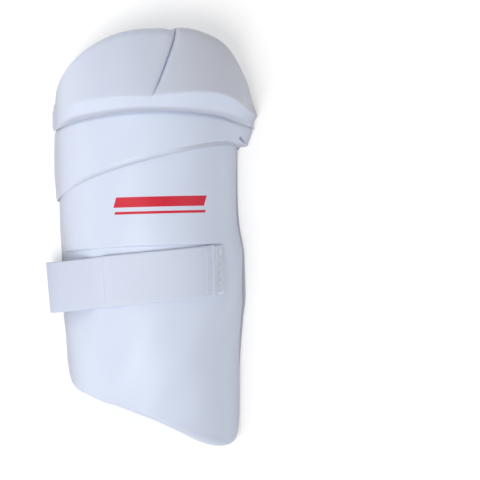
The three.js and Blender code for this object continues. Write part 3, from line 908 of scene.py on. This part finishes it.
@dataclass
class MiddlePad:
    """The raised band between the shell and the hip pad, rolled down to the shell along its lower edge."""

    left: float = 2.6
    crest: float = 5.2
    right: float = 8.8
    flap_rise: float = 3.6
    flap_end: float = 10.0
    flap_across: tuple[float, float] = (0.6, 1.0)
    left_fall: tuple[float, float] = (0.35, 1.0)
    right_climb: tuple[float, float] = (0.55, 1.0)
    corner: float = 0.9
    corner_end: float = 0.4
    roll_reach: float = 6.5
    roll_depth: float = 4.8
    border: tuple[float, float] = (0.15, 0.7)
    border_across: tuple[float, float] = (-0.6, 0.0)
    step_across: tuple[float, float] = (0.2, 0.55)
    step_gap: tuple[float, float] = (4.2, 5.4)
    narrow_across: tuple[float, float] = (0.7, 0.95)
    flange: float = 0.9
    # Painted shade in the band below the step at the right, and in the crease along the lower edge at the
    # left.
    band_shade: float = 0.8
    band_shade_across: tuple[float, float] = (0.0, 0.4)
    lower_edge_shade: float = 0.55
    lower_edge_shade_reach: float = 3.0
    lower_edge_shade_across: tuple[float, float] = (-1.0, -0.6)
    slot_start: tuple[float, float] = (0.848, 99.6)
    slot_stop: tuple[float, float] = (0.922, 94.8)
    slot_depth: float = 7.5
    slot_half: float = 1.3
    slot_room: float = 0.02
    slot_columns: int = 44
    crease_depth: float = 1.9
    crease_width: float = 2.3
    crease_end: tuple[float, float] = (0.7, 0.98)
    tuck: float = 15.0
    clearance: float = 0.3
    toe: float = 5.0
    toe_steps: int = 6
    columns: int = 190
    body: PadBody = field(default_factory=lambda: PadBody("middle_band", "middle_pad"))

    def low(self, side: np.ndarray) -> np.ndarray:
        """Lower border."""
        return SHELL.line(SHELL.middle_edge, side)

    def high(self, side: np.ndarray) -> np.ndarray:
        """Upper border, under the hip pad."""
        return SHELL.lip(side) + self.tuck

    def height(self, side: np.ndarray, y: np.ndarray) -> np.ndarray:
        """Thickness: thin at the left foot, fuller at the crest, rising on the right towards the hip pad.

        A crease runs along the hip pad's lip: depth exp(-((y - lip) / width)^2), gone at the right foot.

        Args:
            side: Places across.
            y: Places along.

        Returns:
            Thicknesses in millimetres.
        """
        lip = SHELL.lip(side)
        up = np.clip((y - self.low(side)) / (lip - self.low(side)), 0.0, 1.0)
        foot = blend(self.corner, self.left, smooth(0.0, self.corner_end, up))
        left = blend(self.crest, foot, smooth(*self.left_fall, -side))
        under_cap = smooth(0.0, self.flap_end, y - lip)
        rise = self.flap_rise * smooth(0.0, 1.0, up) * smooth(*self.flap_across, side) * (1.0 - under_cap)
        right = blend(self.crest, self.right, smooth(*self.right_climb, side)) + rise
        depth = np.minimum(self.crease_depth, left / 2) * (1.0 - smooth(*self.crease_end, side))
        return np.where(side < 0, left, right) - depth * np.exp(-((y - lip) / self.crease_width) ** 2)

    def build(self, material: bpy.types.Material) -> bpy.types.Object:
        """Two faces over one grid. The outer one rolls or steps down to the lower border.

        Args:
            material: The skin.

        Returns:
            The dressed pad.
        """
        first, last = self.slot_start[0] - self.slot_room, self.slot_stop[0] + self.slot_room
        at_slot = np.linspace(first, last, self.slot_columns)
        side = SHELL.across_grid(self.toe, self.toe_steps, self.columns, at_slot)
        low, high, lip = self.low(side), self.high(side), SHELL.lip(side)
        y = rows_between([low, low + 7.0, lip - 5.0, lip + 3.0, high], [16, 30, 16, 12])
        gap = SHELL.line_gap(side, y, self.low, 240)
        height = self.height(side, y)
        fall = height - blend(*self.border, smooth(*self.border_across, side))
        rolled = height - roll(gap, self.roll_reach, np.minimum(self.roll_depth, fall))
        narrowed = gap / (1.0 - smooth(*self.narrow_across, side) / 2)
        stepped = blend(self.flange, height, smooth(*self.step_gap, narrowed))
        face = blend(rolled, stepped, smooth(*self.step_across, side))
        slot = self.slot(side, y)
        face = face - np.minimum(slot, np.maximum(face - self.flange, 0.0))
        outer = SHELL.point(side, y, rolled_foot(side, y, face), 0.0)
        lining = self.clearance - roll(SHELL.foot_gap(side, y), self.toe, self.toe)
        inner = SHELL.point(side, y, lining, 0.0)
        # Painted shade: in the band under the step, in the crease along the lower edge, in the slot, and
        # towards the feet.
        band_end = 1.0 - smooth(*self.step_gap, narrowed)
        band = self.band_shade * smooth(*self.band_shade_across, side) * band_end
        at_foot = np.exp(-((gap / self.lower_edge_shade_reach) ** 2))
        crease = self.lower_edge_shade * smooth(*self.lower_edge_shade_across, side) * at_foot
        low_wall = self.body.painted_shading(side, y, np.full(y.shape, FAR))
        rubbed = np.max([low_wall, band, crease, slot / self.slot_depth], axis=0)
        return self.body.dress(outer, inner, material, rubbed=rubbed)

    def slot(self, side: np.ndarray, y: np.ndarray) -> np.ndarray:
        """Depth of the short open slot at the right end, from the distance to its middle line."""
        ends = np.array([self.slot_start, self.slot_stop])
        away = border_gap(SHELL.flat(side, y), SHELL.flat(ends[:, 0], ends[:, 1]))
        return self.slot_depth * (1.0 - smooth(self.slot_half - 0.5, self.slot_half + 0.5, away))


@dataclass
class HipPad:
    """The thick cap at the hip end: a ridge, a fall to the rim, and a slit between two lobes.

    The pairs named across and above say where a change starts and ends: in places across, and in
    shares of the way from the lip to the ridge, counted from the ridge.
    """

    left_ridge: float = 3.8
    crest_ridge: float = 21.0
    right_ridge: float = 16.5
    ridge_left: tuple[float, float] = (0.25, 1.0)
    ridge_right: tuple[float, float] = (0.5, 1.0)
    rim_height: float = 9.0
    rim_reach: float = 8.0
    rim_wrap: float = 4.0
    rim_under: float = 1.5
    rim_under_reach: float = 4.0
    bevel: Curve = Curve((
        (-1.0, 13.0), (-0.777, 13.3), (-0.54, 15.0), (-0.299, 15.0), (-0.02, 13.3), (0.07, 15.1),
        (0.336, 19.6), (0.512, 19.9), (0.621, 17.2), (0.699, 14.6), (0.813, 13.0), (1.0, 13.0)))
    lip_reach: float = 4.2
    lip_depth: float = 4.0
    lip_share: float = 0.75
    lip_end: tuple[float, float] = (0.75, 0.97)
    ridge_round: float = 0.9
    step_start: float = 8.0
    step_stop: float = 16.0
    clearance: float = 0.45
    least_thickness: tuple[float, float] = (0.8, 0.3)
    right_end: tuple[float, float] = (0.8, 1.0)
    toe: float = 5.0
    slit: Curve = Curve((
        (0.262, 0.008), (0.3235, 0.016), (0.371, 0.072), (0.4236, 0.14), (0.4567, 0.187),
        (0.4854, 0.224), (0.5, 0.24)))
    slit_start: float = 7.0
    slit_full: float = 30.0
    slit_half: tuple[float, float] = (0.5, 1.6)
    slit_wall: float = 1.1
    slit_depth: float = 2.4
    slit_room: float = 9.0
    left_roll: tuple[float, float] = (8.0, 3.0)
    right_roll: tuple[float, float] = (3.0, 2.0)
    notch_depth: float = 2.2
    notch_width: float = 10.0
    notch_shift: float = 5.0
    # Where the painted shade on the outer lobe's face, which turns from the light, starts and ends.
    aged_across: tuple[float, float] = (-0.25, 0.45)
    aged_above: tuple[float, float] = (-0.1, 0.1)
    lobe_columns: int = 96
    rows: int = 104
    rounds: int = 14
    middle: MiddlePad = field(default_factory=MiddlePad)
    # Painted shade on the left lobe's face and along the underside of the lip.
    left_lobe_shade: float = 0.2
    left_lobe_shade_across: tuple[float, float] = (-0.05, 0.15)
    left_lobe_shade_above: tuple[float, float] = (-0.4, 0.2)
    lip_shade: float = 0.8
    lip_shade_reach: tuple[float, float] = (1.5, 5.5)
    body: PadBody = field(default_factory=lambda: PadBody(
        "hip_cap", "hip_pad", edge_shade=(0.45, 0.85), edge_fade=(4.0, 9.0)))

    def low(self, side: np.ndarray) -> np.ndarray:
        """The lip over the middle pad."""
        return SHELL.lip(side)

    def high(self, side: np.ndarray) -> np.ndarray:
        """The rim, which dips by depth (1 - distance / width)^2 beside the place where the slit comes out.

        Args:
            side: Places across.

        Returns:
            Places along Y.
        """
        edge = SHELL.hip_edge.at(side)
        off = (side - self.slit.at(edge)) * SHELL.girth(side, edge * SHELL.length) + self.notch_shift
        away = np.abs(off) / self.notch_width
        return edge * SHELL.length - self.notch_depth * np.maximum(0.0, 1.0 - away) ** 2

    def ridge(self, side: np.ndarray) -> np.ndarray:
        """Thickness along the ridge."""
        left = blend(self.crest_ridge, self.left_ridge, smooth(*self.ridge_left, -side))
        right = blend(self.crest_ridge, self.right_ridge, smooth(*self.ridge_right, side))
        return np.where(side < 0, left, right)

    def face(self, side: np.ndarray, y: np.ndarray) -> np.ndarray:
        """Height of the face: a rolled lip, a straight climb to the ridge, then a straight fall to the rim.

        The lip rolls down as a quarter ellipse. The ridge is the rounded meeting of climb and fall, a
        smooth least of the two: (a + b - sqrt((a - b)^2 + r^2)) / 2.

        Args:
            side: Places across.
            y: Places along.

        Returns:
            Heights over the shell.
        """
        low, high = self.low(side), self.high(side)
        under = self.middle.height(side, y) + self.middle.clearance + self.clearance
        ridge = self.ridge(side)
        bevel = self.bevel.at(side)
        foot = np.minimum(under, ridge - 1.0)
        lip = np.minimum(self.lip_depth, self.lip_share * (ridge - foot))
        lip = lip * (1.0 - smooth(*self.lip_end, side))
        rising = foot + lip + (y - low) * (ridge - foot - lip) / bevel
        slope = (np.minimum(self.rim_height, ridge) - ridge) / (high - low - bevel)
        falling = ridge + (y - low - bevel) * slope
        gap = rising - falling
        sharp = 0.5 * (rising + falling - np.sqrt(gap * gap + self.ridge_round**2))
        return sharp - roll(y - low, self.lip_reach, lip)

    def underside(self, side: np.ndarray, y: np.ndarray) -> np.ndarray:
        """Height of the underside: over the middle pad's tuck, then down on the shell.

        Args:
            side: Places across.
            y: Places along.

        Returns:
            Heights over the shell.
        """
        tuck_end = self.middle.high(side)
        over = 1.0 - smooth(0.0, 1.0, (y - tuck_end - self.step_start) / (self.step_stop - self.step_start))
        on_middle = self.middle.height(side, np.minimum(y, tuck_end)) + self.middle.clearance
        drop = roll(SHELL.foot_gap(side, y), self.toe, self.toe)
        return self.clearance + on_middle * over - drop * (1.0 - over)

    def places(self) -> tuple[np.ndarray, np.ndarray, np.ndarray]:
        """Grid that follows the slit: columns close together beside it, and even ones over both lobes.

        The slit's place depends on y and y on the place across, so both are worked out in rounds.

        Returns:
            side, y and signed distance from the slit (far away: large), each (rows, columns).
        """
        wider = [0.125, 0.15, 0.19, 0.24, 0.3, 0.4, 0.52, 0.66, 0.82, 1.0]
        across = self.slit_room * np.concatenate([np.linspace(0.0, 0.1, 4), wider])
        crowd = 0.5 * (1.0 - np.cos(math.pi * np.linspace(0.0, 1.0, self.lobe_columns + 1)))
        share = 0.6 * np.linspace(0.0, 1.0, self.lobe_columns + 1) + 0.4 * crowd
        ones, zeros = np.ones(share.size - 1), np.zeros(share.size - 1)
        at_slit = np.zeros(2 * across.size - 1)
        lobe = np.concatenate([-ones, at_slit, ones])
        part = np.concatenate([share[:-1], at_slit, share[1:]])
        off = np.concatenate([zeros, -across[:0:-1], across, zeros])
        lip, rim = round_steps(0.05, 10), round_steps(0.06, 8)
        row = np.concatenate([lip[:-1], np.linspace(lip[-1], 1.0 - rim[-1], self.rows), 1.0 - rim[-2::-1]])
        side = np.broadcast_to(part * 2.0 - 1.0, (row.size, part.size)).copy()
        for _ in range(self.rounds):
            y = blend(self.low(side), self.high(side), row[:, None])
            girth = SHELL.girth(side, y)
            gap = self.slit.at(y / SHELL.length)
            room = self.slit_room / girth
            left = -1.0 + part * (gap - room + 1.0)
            right = 1.0 - (1.0 - part) * (1.0 - gap - room)
            side = np.where(lobe < 0, left, np.where(lobe > 0, right, gap + off / girth))
        return side, y, np.where(lobe == 0, off, FAR * lobe)

    def build(self, material: bpy.types.Material) -> bpy.types.Object:
        """Two faces over the slit's grid.

        The face falls to the rim as a quarter ellipse, each lobe rolls down to the slit, and between the
        lobes the face drops by the depth at which the soft lobes touch.

        Args:
            material: The skin.

        Returns:
            The dressed pad.
        """
        side, y, off = self.places()
        start = self.low(side)
        cut = smooth(0.0, 1.0, (y - start - self.slit_start) / (self.slit_full - self.slit_start))
        opened = np.clip((y - start) / (self.high(side) - start), 0.0, 1.0)
        half = blend(self.slit_half[0], self.slit_half[1], opened)
        face = self.face(side, y)
        for sign, (reach, depth) in ((-1.0, self.left_roll), (1.0, self.right_roll)):
            near = np.clip(sign * off - half, 0.0, None)
            face = face - cut * np.where(sign * off >= 0, roll(near, reach, depth), 0.0)
        in_slit = cut * (1.0 - smooth(0.0, 1.0, (np.abs(off) - half + self.slit_wall) / self.slit_wall))
        face = face - self.slit_depth * in_slit
        top_gap = SHELL.line_gap(side, y, self.high, 320)
        face = face - roll(top_gap, self.rim_reach, self.rim_wrap + np.minimum(self.rim_height, face) - 1.0)
        face = rolled_foot(side, y, face)
        at_rim = smooth(0.0, 1.0, 1.0 - top_gap / self.rim_under_reach)
        under = self.underside(side, y) - (self.rim_wrap + self.rim_under) * at_rim
        at_end = smooth(*self.right_end, side)
        least = blend(*self.least_thickness, at_end)
        outer = SHELL.point(side, y, np.maximum(face, under + least), 0.0)
        inner = SHELL.point(side, y, under, 0.0)
        # Painted shade on the outer lobe's face, which turns from the light; it is also a little warmer.
        above = (y - start) / self.bevel.at(side) - 1.0
        aged = smooth(*self.aged_across, side) * smooth(*self.aged_above, above)
        # Painted shade along the lip's underside and on the left lobe, besides the painted shade at the rim
        # and feet.
        at_lip = self.lip_shade * (1.0 - smooth(*self.lip_shade_reach, y - start)) * (1.0 - at_end)
        on_left = 1.0 - smooth(*self.left_lobe_shade_across, side)
        left_lobe = self.left_lobe_shade * on_left * smooth(*self.left_lobe_shade_above, above)
        rubbed = np.max([self.body.painted_shading(side, y, top_gap), at_lip, left_lobe], axis=0)
        return self.body.dress(outer, inner, material, rubbed=rubbed, aged=aged)


@dataclass
class LegStrap:
    """The elastic strap, its hook-taped tab and the loop patch that the tab closes on."""

    width: float = 50.0
    elastic: float = 1.6
    tab: float = 1.4
    patch: float = 1.0
    patch_width: float = 47.0
    clearance: float = 0.3
    foot: float = BaseShell.left_foot
    shell_thickness: float = BaseShell.thickness
    tab_start: float = -0.335
    tab_end: float = 0.508
    tab_overlap: float = 9.0
    patch_start: float = -0.25
    patch_end: float = 0.618
    lift_off: float = -0.47
    tab_end_at: float = -0.0765
    tab_start_at: float = -0.1015
    left_at: float = -0.119
    sewn_at: float = -0.112
    tab_start_lean: float = 0.00058
    tab_end_lean: float = -0.00047
    patch_lean: float = -0.00106
    fold_lean: float = 0.088
    bulge: float = 12.4
    bend_radius: float = 15.0
    heel_radius: float = 4.0
    sewn_length: float = 22.0
    hem: float = 12.0
    hem_rise: float = 0.25
    fold: float = 4.8
    fold_rise: float = 0.7
    # Painted shade on the elastic's loose bend, which turns from the light.
    fold_shade: float = 0.65
    fold_shade_fade: float = 11.0
    stitch_radius: float = 0.26
    stitch_rise: float = 0.28
    stitch_sink: float = 0.12
    pile_radius: float = 0.11
    pile_count: int = 430
    pile_seed: int = 7
    across: int = 33

    def spread(self, width: float) -> np.ndarray:
        """Distances across a band, closer together at its edges."""
        even = np.linspace(-1.0, 1.0, self.across)
        return width / 2 * (0.7 * even + 0.3 * np.sin(even * math.pi / 2))

    def front_centre(self, side: np.ndarray) -> np.ndarray:
        """Middle line along Y over the front: straight from the tab's end to the left foot."""
        slope = (self.tab_end_at - self.tab_start_at) / (self.tab_end - self.tab_start)
        return (self.tab_start_at + slope * (side - self.tab_start)) * SHELL.length

    def front_girth(self) -> float:
        """Length over the shell from the crest to the right foot, at the height of the tab."""
        return float(SHELL.girth(np.array(0.5), np.array(SEAT.end_middle)))

    def leaned(self, side: np.ndarray, q: np.ndarray, lean: np.ndarray) -> tuple[np.ndarray, np.ndarray]:
        """Places across and along of the points at a distance q from the strap's middle line.

        Args:
            side: Place of each cross cut on the middle line.
            q: Distances across the band.
            lean: Slant of the cross cuts, in side for each millimetre of q.

        Returns:
            Places across and places along.
        """
        across = side - q * lean
        return across, self.front_centre(across) + q

    def tab_lean(self, side: np.ndarray) -> np.ndarray:
        """Slant of the tab's cross cuts, from the one at its start to the one at its end."""
        share = (side - self.tab_start) / (self.tab_end - self.tab_start)
        return blend(self.tab_start_lean, self.tab_end_lean, np.clip(share, 0.0, 1.0))

    def front(self, side: np.ndarray, q: np.ndarray, lean: np.ndarray, height: np.ndarray) -> np.ndarray:
        """Points over the seat's floor.

        Args:
            side: Places across the shell, (k,).
            q: Distances across the band, (n,).
            lean: Slant of the cross cuts, in side for each millimetre of q, (k,) or one number.
            height: Height over the floor, (k,) or one number.

        Returns:
            Points, (n, k, 3).
        """
        across, y = self.leaned(side[None], q[:, None], lean)
        return SHELL.point(across, y, height - SEAT.under_strap(across, y), self.foot)

    def arc(self, x: np.ndarray, z: float, y: np.ndarray, radius: float, turn: tuple[float, float],
            count: int) -> np.ndarray:
        """Round bends of the band: points (x + r cos a, y, z + r sin a).

        Args:
            x: Centre of each line's bend.
            z: Height of the centres.
            y: Place of each line along the leg.
            radius: Radius of the bend.
            turn: First and last angle in degrees.
            count: Steps between them.

        Returns:
            Points, (lines, count + 1, 3).
        """
        angle = np.radians(np.linspace(*turn, count + 1))
        across, rise = radius * np.cos(angle), radius * np.sin(angle)
        return np.stack(np.broadcast_arrays(x[:, None] + across, y[:, None], z + rise), -1)

    def strap_lines(self) -> np.ndarray:
        """Lengthwise lines of the elastic, from its sewn end to its end under the tab, (n, k, 3).

        Front over the left wall, a cubic bridge to the loose bend, the flat run below the arch, the heel
        and the sewn end up the inside of the right wall, put together and then reversed.

        Returns:
            Points, (lines, stations, 3).
        """
        q = self.spread(self.width)
        half = self.elastic / 2
        front = self.front(np.linspace(self.tab_start, self.lift_off, 24), q, self.tab_start_lean,
                           self.clearance + half)
        left_y = self.left_at * SHELL.length + q
        left_foot = SHELL.point(np.array(-1.0), np.array(self.left_at * SHELL.length), 0.0, self.foot)[0]
        fold_x = left_foot - self.bulge + self.bend_radius - q * self.fold_lean
        bend = self.arc(fold_x, half + self.bend_radius, left_y, self.bend_radius, (160.0, 270.0), 30)
        leave = unit(front[:, -1] - front[:, -2])
        arrive = unit(bend[:, 0] - bend[:, 1])
        reach = np.linalg.norm(bend[:, 0] - front[:, -1], axis=-1, keepdims=True) / 3
        knots = [front[:, -1], front[:, -1] + leave * reach, bend[:, 0] + arrive * reach, bend[:, 0]]
        t = np.linspace(0.0, 1.0, 22)[1:-1, None]
        weights = [(1 - t) ** 3, 3 * t * (1 - t) ** 2, 3 * t * t * (1 - t), t**3]
        bridge = sum(w * knot[:, None] for w, knot in zip(weights, knots))
        sewn_y = self.sewn_at * SHELL.length + q
        lean = SHELL.right_lean
        turn = 180.0 - math.degrees(lean)
        end_z = half + self.heel_radius * (1.0 + math.sin(math.radians(turn - 90.0)))
        inside = -self.shell_thickness - 2 * self.clearance - half
        end_x = SHELL.point(np.array(1.0), sewn_y, inside, 0.0)[:, 0] - end_z / math.tan(lean)
        heel_x = end_x - self.heel_radius * math.cos(math.radians(turn - 90.0))
        heel_z = half + self.heel_radius
        heel = self.arc(heel_x, heel_z, sewn_y, self.heel_radius, (270.0, 270.0 + turn), 14)
        share = np.linspace(0.0, 1.0, 50)[1:-1]
        back = np.stack(np.broadcast_arrays(
            fold_x[:, None] + (heel_x - fold_x)[:, None] * share,
            left_y[:, None] + (sewn_y - left_y)[:, None] * share, half), -1)
        rise = self.sewn_length * np.linspace(0.0, 1.0, 12)[1:]
        sewn = np.stack(np.broadcast_arrays(
            end_x[:, None] - rise * math.cos(lean), sewn_y[:, None], end_z + rise * math.sin(lean)), -1)
        return np.concatenate([front, bridge, bend, back, heel, sewn], axis=1)[:, ::-1]

    def band(self, name: str, lines: np.ndarray, thickness: np.ndarray, q: np.ndarray) -> bpy.types.Object:
        """A band with rounded edges through lengthwise lines.

        Each line is moved out and in along the surface's normal by half the thickness, which falls off to
        the edges and ends as a quarter ellipse.

        Args:
            name: Name of the piece.
            lines: Lines through the middle of the band, lower one first, (n, k, 3).
            thickness: Thickness along the band, (k,).
            q: Distance of each line from the middle, (n,).

        Returns:
            The object, with the attribute weave.
        """
        normal = unit(np.cross(np.gradient(lines, axis=1), np.gradient(lines, axis=0)))
        steps = np.linalg.norm(np.diff(lines[len(q) // 2], axis=0), axis=-1)
        along = np.concatenate([[0.0], np.cumsum(steps)])
        edge = np.minimum((q.max() - np.abs(q))[:, None], np.minimum(along, along[-1] - along)[None])
        half = thickness[None] / 2 - roll(edge, 0.9, thickness[None] * 0.42)
        points, quads = closed_pad(lines + normal * half[..., None], lines - normal * half[..., None])
        piece = make_object(name, points, quads)
        weave = np.stack(np.broadcast_arrays(along[None], q[:, None], 0.0), -1).reshape(-1, 3)
        add_attribute(piece, "weave", np.concatenate([weave, weave]))
        return piece

    def end_crowd(self, start: float, stop: float, count: int) -> np.ndarray:
        """Places along a band, closer together at both ends."""
        fine = np.array([0.0, 0.0012, 0.003, 0.0055, 0.0085])
        share = np.concatenate([fine, np.linspace(0.012, 0.988, count), 1.0 - fine[::-1]])
        return start + (stop - start) * share

    def tab_lift(self, side: np.ndarray) -> np.ndarray:
        """Height of the tab's middle: over the elastic at its start, over the loop patch from there on."""
        over = self.patch + 2 * self.clearance + self.tab / 2
        raised = self.elastic + 2 * self.clearance + self.tab / 2
        return blend(raised, over, smooth(self.tab_start + 0.01, self.tab_start + 0.09, side))

    def hem_height(self, side: np.ndarray) -> np.ndarray:
        """Extra thickness at the tab's free end: a low stitched hem, then the round fold of the tape.

        The fold is a half ellipse, rise sqrt(1 - t^2), t from -1 to 1 over its width.

        Args:
            side: Places along the tab.

        Returns:
            Thicknesses in millimetres.
        """
        reach = (self.tab_end - side) * self.front_girth()
        hem = self.hem_rise * (1.0 - smooth(self.hem - 0.6, self.hem + 0.6, reach))
        t = np.clip(2.0 * reach / self.fold - 1.0, -1.0, 1.0)
        return hem + self.fold_rise * np.sqrt(1.0 - t * t)

    def build_tab(self) -> bpy.types.Object:
        """The hook-taped tab with its folded hem.

        Returns:
            The piece.
        """
        q = self.spread(self.width)
        girth = float(SHELL.girth(np.array(-1.0), np.array(self.tab_start_at * SHELL.length)))
        side = self.end_crowd(self.tab_start - self.tab_overlap / girth, self.tab_end, 150)
        fine = np.linspace(self.tab_end - 0.045, self.tab_end - 0.006, 30)
        side = np.sort(np.concatenate([side, fine]))
        hem = self.hem_height(side)
        lines = self.front(side, q, self.tab_lean(side), self.tab_lift(side) + hem / 2)
        return self.band("hook_tab_band", lines, self.tab + hem, q)

    def build_patch(self) -> bpy.types.Object:
        """The loop patch below the tab.

        Returns:
            The piece.
        """
        q = self.spread(self.patch_width)
        side = self.end_crowd(self.patch_start, self.patch_end, 120)
        lines = self.front(side, q, self.patch_lean, self.clearance + self.patch / 2)
        return self.band("loop_patch_band", lines, np.full(side.size, self.patch), q)

    def stitch_rows(self) -> tuple[np.ndarray, np.ndarray]:
        """Stitches of the tab: one row over the elastic's end, three on the hem, and a row at each edge.

        Returns:
            Middle lines (stitches, 5, 3) and the up direction of each.
        """
        girth = self.front_girth()
        start = self.tab_start - self.tab_overlap / girth
        over = np.arange(-22.5, 22.6, 3.0)
        upright = [start + 2.0 / girth, *(self.tab_end - reach / girth for reach in (11.0, 8.6, 6.2))]
        along = np.arange(self.tab_end - 17.0 / girth, self.tab_end - 1.5 / girth, 3.0 / girth)
        middle = [(side, q, 0.0, 1.0) for side in upright for q in over]
        middle += [(side, q, 1.0, 0.0) for side in along for q in (-23.6, 23.6)]
        side0, q0, run_side, run_q = np.array(middle).T
        t = np.linspace(-1.0, 1.0, 5)
        side = side0[:, None] + run_side[:, None] * t * 1.0 / girth
        q = q0[:, None] + run_q[:, None] * t * 1.15
        across, y = self.leaned(side, q, self.tab_lean(side))
        top = self.tab_lift(side) + self.tab / 2 + self.hem_height(side)
        lift = top - SEAT.hollow(across, y) + self.stitch_rise * (1.0 - t**4) - self.stitch_sink
        paths = SHELL.point(across, y, lift, self.foot)
        above = SHELL.point(across, y, lift + 1.0, self.foot)
        return paths, unit(above - paths)[:, 2]

    def pile_loops(self, count: int, seed: int) -> tuple[np.ndarray, np.ndarray]:
        """Loops of pile on the bare end of the patch: half circles of thread in seeded random places.

        Args:
            count: Number of loops.
            seed: Seed of the draws.

        Returns:
            Middle lines (loops, 5, 3) and an across direction of each.
        """
        draw = np.random.default_rng(seed)
        reach = 9.0 / self.front_girth()
        side = self.patch_end - draw.uniform(0.004, reach, count)
        q = draw.uniform(-self.patch_width / 2 + 0.8, self.patch_width / 2 - 0.8, count)
        across, y = self.leaned(side, q, self.patch_lean)
        lift = self.clearance + self.patch - SEAT.under_strap(across, y)
        base = SHELL.point(across, y, lift, self.foot)
        normal = unit(SHELL.point(across, y, lift + 1.0, self.foot) - base)
        turn = draw.uniform(0.0, math.pi, count)
        tangent = unit(np.stack([np.cos(turn), np.sin(turn), np.zeros(count)], -1))
        tangent = unit(tangent - normal * (tangent * normal).sum(-1, keepdims=True))
        size = draw.uniform(0.35, 0.6, count)[:, None, None]
        angle = np.linspace(-0.15, math.pi + 0.15, 5)[None, :, None]
        lean = draw.uniform(-0.5, 0.5, count)[:, None, None] * np.cross(normal, tangent)[:, None]
        ring = np.cos(angle) * tangent[:, None] + 1.2 * np.sin(angle) * (normal[:, None] + lean)
        return base[:, None] + size * ring, np.cross(normal, tangent)

    def build(self) -> list[bpy.types.Object]:
        """All pieces of the strap, dressed.

        Returns:
            The pieces.
        """
        q = self.spread(self.width)
        lines = self.strap_lines()
        strap = self.band("elastic_strap", lines, np.full(lines.shape[1], self.elastic), q)
        # Painted shade on the bend at the left end, fading along the strap.
        away = lines[..., 0].ravel() - lines[..., 0].min()
        add_attribute(strap, "rubbed", np.tile(self.fold_shade * np.exp(-away / self.fold_shade_fade), 2))
        pieces = [fit(strap, ELASTIC.material(), Slot.ELASTIC, "leg_strap")]
        pieces.append(fit(self.build_tab(), HOOK_TAPE.material(), Slot.HOOK, "hook_tab"))
        pieces.append(fit(self.build_patch(), LOOP_PILE.material(), Slot.LOOP, "loop_patch"))
        paths, up = self.stitch_rows()
        radii = self.stitch_radius * np.array([0.3, 1.0, 1.0, 1.0, 0.3])
        stitches = make_object("tab_stitches", *threads(paths, radii, up))
        pieces.append(fit(stitches, THREAD.material(), Slot.HOOK))
        paths, up = self.pile_loops(self.pile_count, self.pile_seed)
        pile = make_object("pile_loops", *threads(paths, np.full(paths.shape[1], self.pile_radius), up))
        pieces.append(fit(pile, PILE.material(), Slot.LOOP))
        return pieces


@dataclass(frozen=True)
class Softbox:
    """A square softbox that faces the guard, in degrees, watts and metres."""

    name: str
    azimuth: float
    elevation: float
    power: float
    size: float = 3.2
    distance: float = 6.0

    def build(self) -> None:
        """Hangs the light at distance (cos e cos a, cos e sin a, sin e) and turns it to the origin."""
        light = bpy.data.lights.new(self.name, "AREA")
        light.energy = self.power
        light.size = self.size
        lamp = bpy.data.objects.new(self.name, light)
        turn, rise = math.radians(self.azimuth), math.radians(self.elevation)
        lamp.location = self.distance * np.array([
            math.cos(rise) * math.cos(turn), math.cos(rise) * math.sin(turn), math.sin(rise)])
        lamp.rotation_euler = (math.pi / 2 - rise, 0.0, turn + math.pi / 2)
        bpy.context.scene.collection.objects.link(lamp)


@dataclass
class Studio:
    """Pale floor, soft light and the camera of the photograph, all in metres."""

    camera_x: float = 0.0878
    camera_y: float = -0.0018
    camera_z: float = 2.6
    frame_width: float = 0.48
    sensor_mm: float = 36.0
    floor_size: float = 12.0
    world: float = 0.3
    softboxes: tuple[Softbox, ...] = (
        Softbox("key_softbox", 225.0, 62.0, 191.0),
        Softbox("low_key_softbox", 225.0, 36.0, 45.0),
        Softbox("outer_side_softbox", 0.0, 36.0, 49.5),
        Softbox("hip_side_softbox", 135.0, 36.0, 47.5),
    )

    def build(self) -> None:
        """Makes the floor, the lights and the camera, and sets the view transform."""
        self.add_floor()
        for softbox in self.softboxes:
            softbox.build()
        world = bpy.data.worlds.new("studio_white")
        world.use_nodes = True
        world.node_tree.nodes["Background"].inputs["Color"].default_value = linear("FFFFFF")
        world.node_tree.nodes["Background"].inputs["Strength"].default_value = self.world
        scene = bpy.context.scene
        scene.world = world
        scene.view_settings.view_transform = "Standard"
        lens = bpy.data.cameras.new("photo_camera")
        lens.sensor_width = self.sensor_mm
        lens.lens = self.sensor_mm * self.camera_z / self.frame_width
        lens.clip_end = 50.0
        camera = bpy.data.objects.new("photo_camera", lens)
        camera.location = (self.camera_x, self.camera_y, self.camera_z)
        scene.collection.objects.link(camera)
        scene.camera = camera

    def add_floor(self) -> None:
        """A white sheet below the guard, with a faint light of its own, as pale as the photo's ground."""
        half = self.floor_size / 2 / MM
        points = np.array([(-half, -half, 0.0), (half, -half, 0.0), (half, half, 0.0), (-half, half, 0.0)])
        floor = make_object("floor", points, np.array([[0, 1, 2, 3]]))
        material, tree = new_material("studio_paper")
        surface = tree.nodes["surface"]
        surface.inputs["Base Color"].default_value = linear("DADADA")
        surface.inputs["Roughness"].default_value = 0.9
        surface.inputs["Emission Color"].default_value = linear("FFFFFF")
        surface.inputs["Emission Strength"].default_value = 0.38
        floor.data.materials.append(material)


def main() -> None:
    """Builds the guard in order, from the shell to the strap, and reports each piece."""
    logging.basicConfig(level=logging.INFO, format="%(message)s")
    Studio().build()
    skin = SKIN.material()
    pieces = [BaseShell().build(skin), MiddlePad().build(skin), HipPad().build(skin), *LegStrap().build()]
    for piece in pieces:
        LOG.info("%s: %d faces, %s", piece.name, len(piece.data.polygons), piece.data.materials[0].name)


if __name__ == "__main__":
    main()
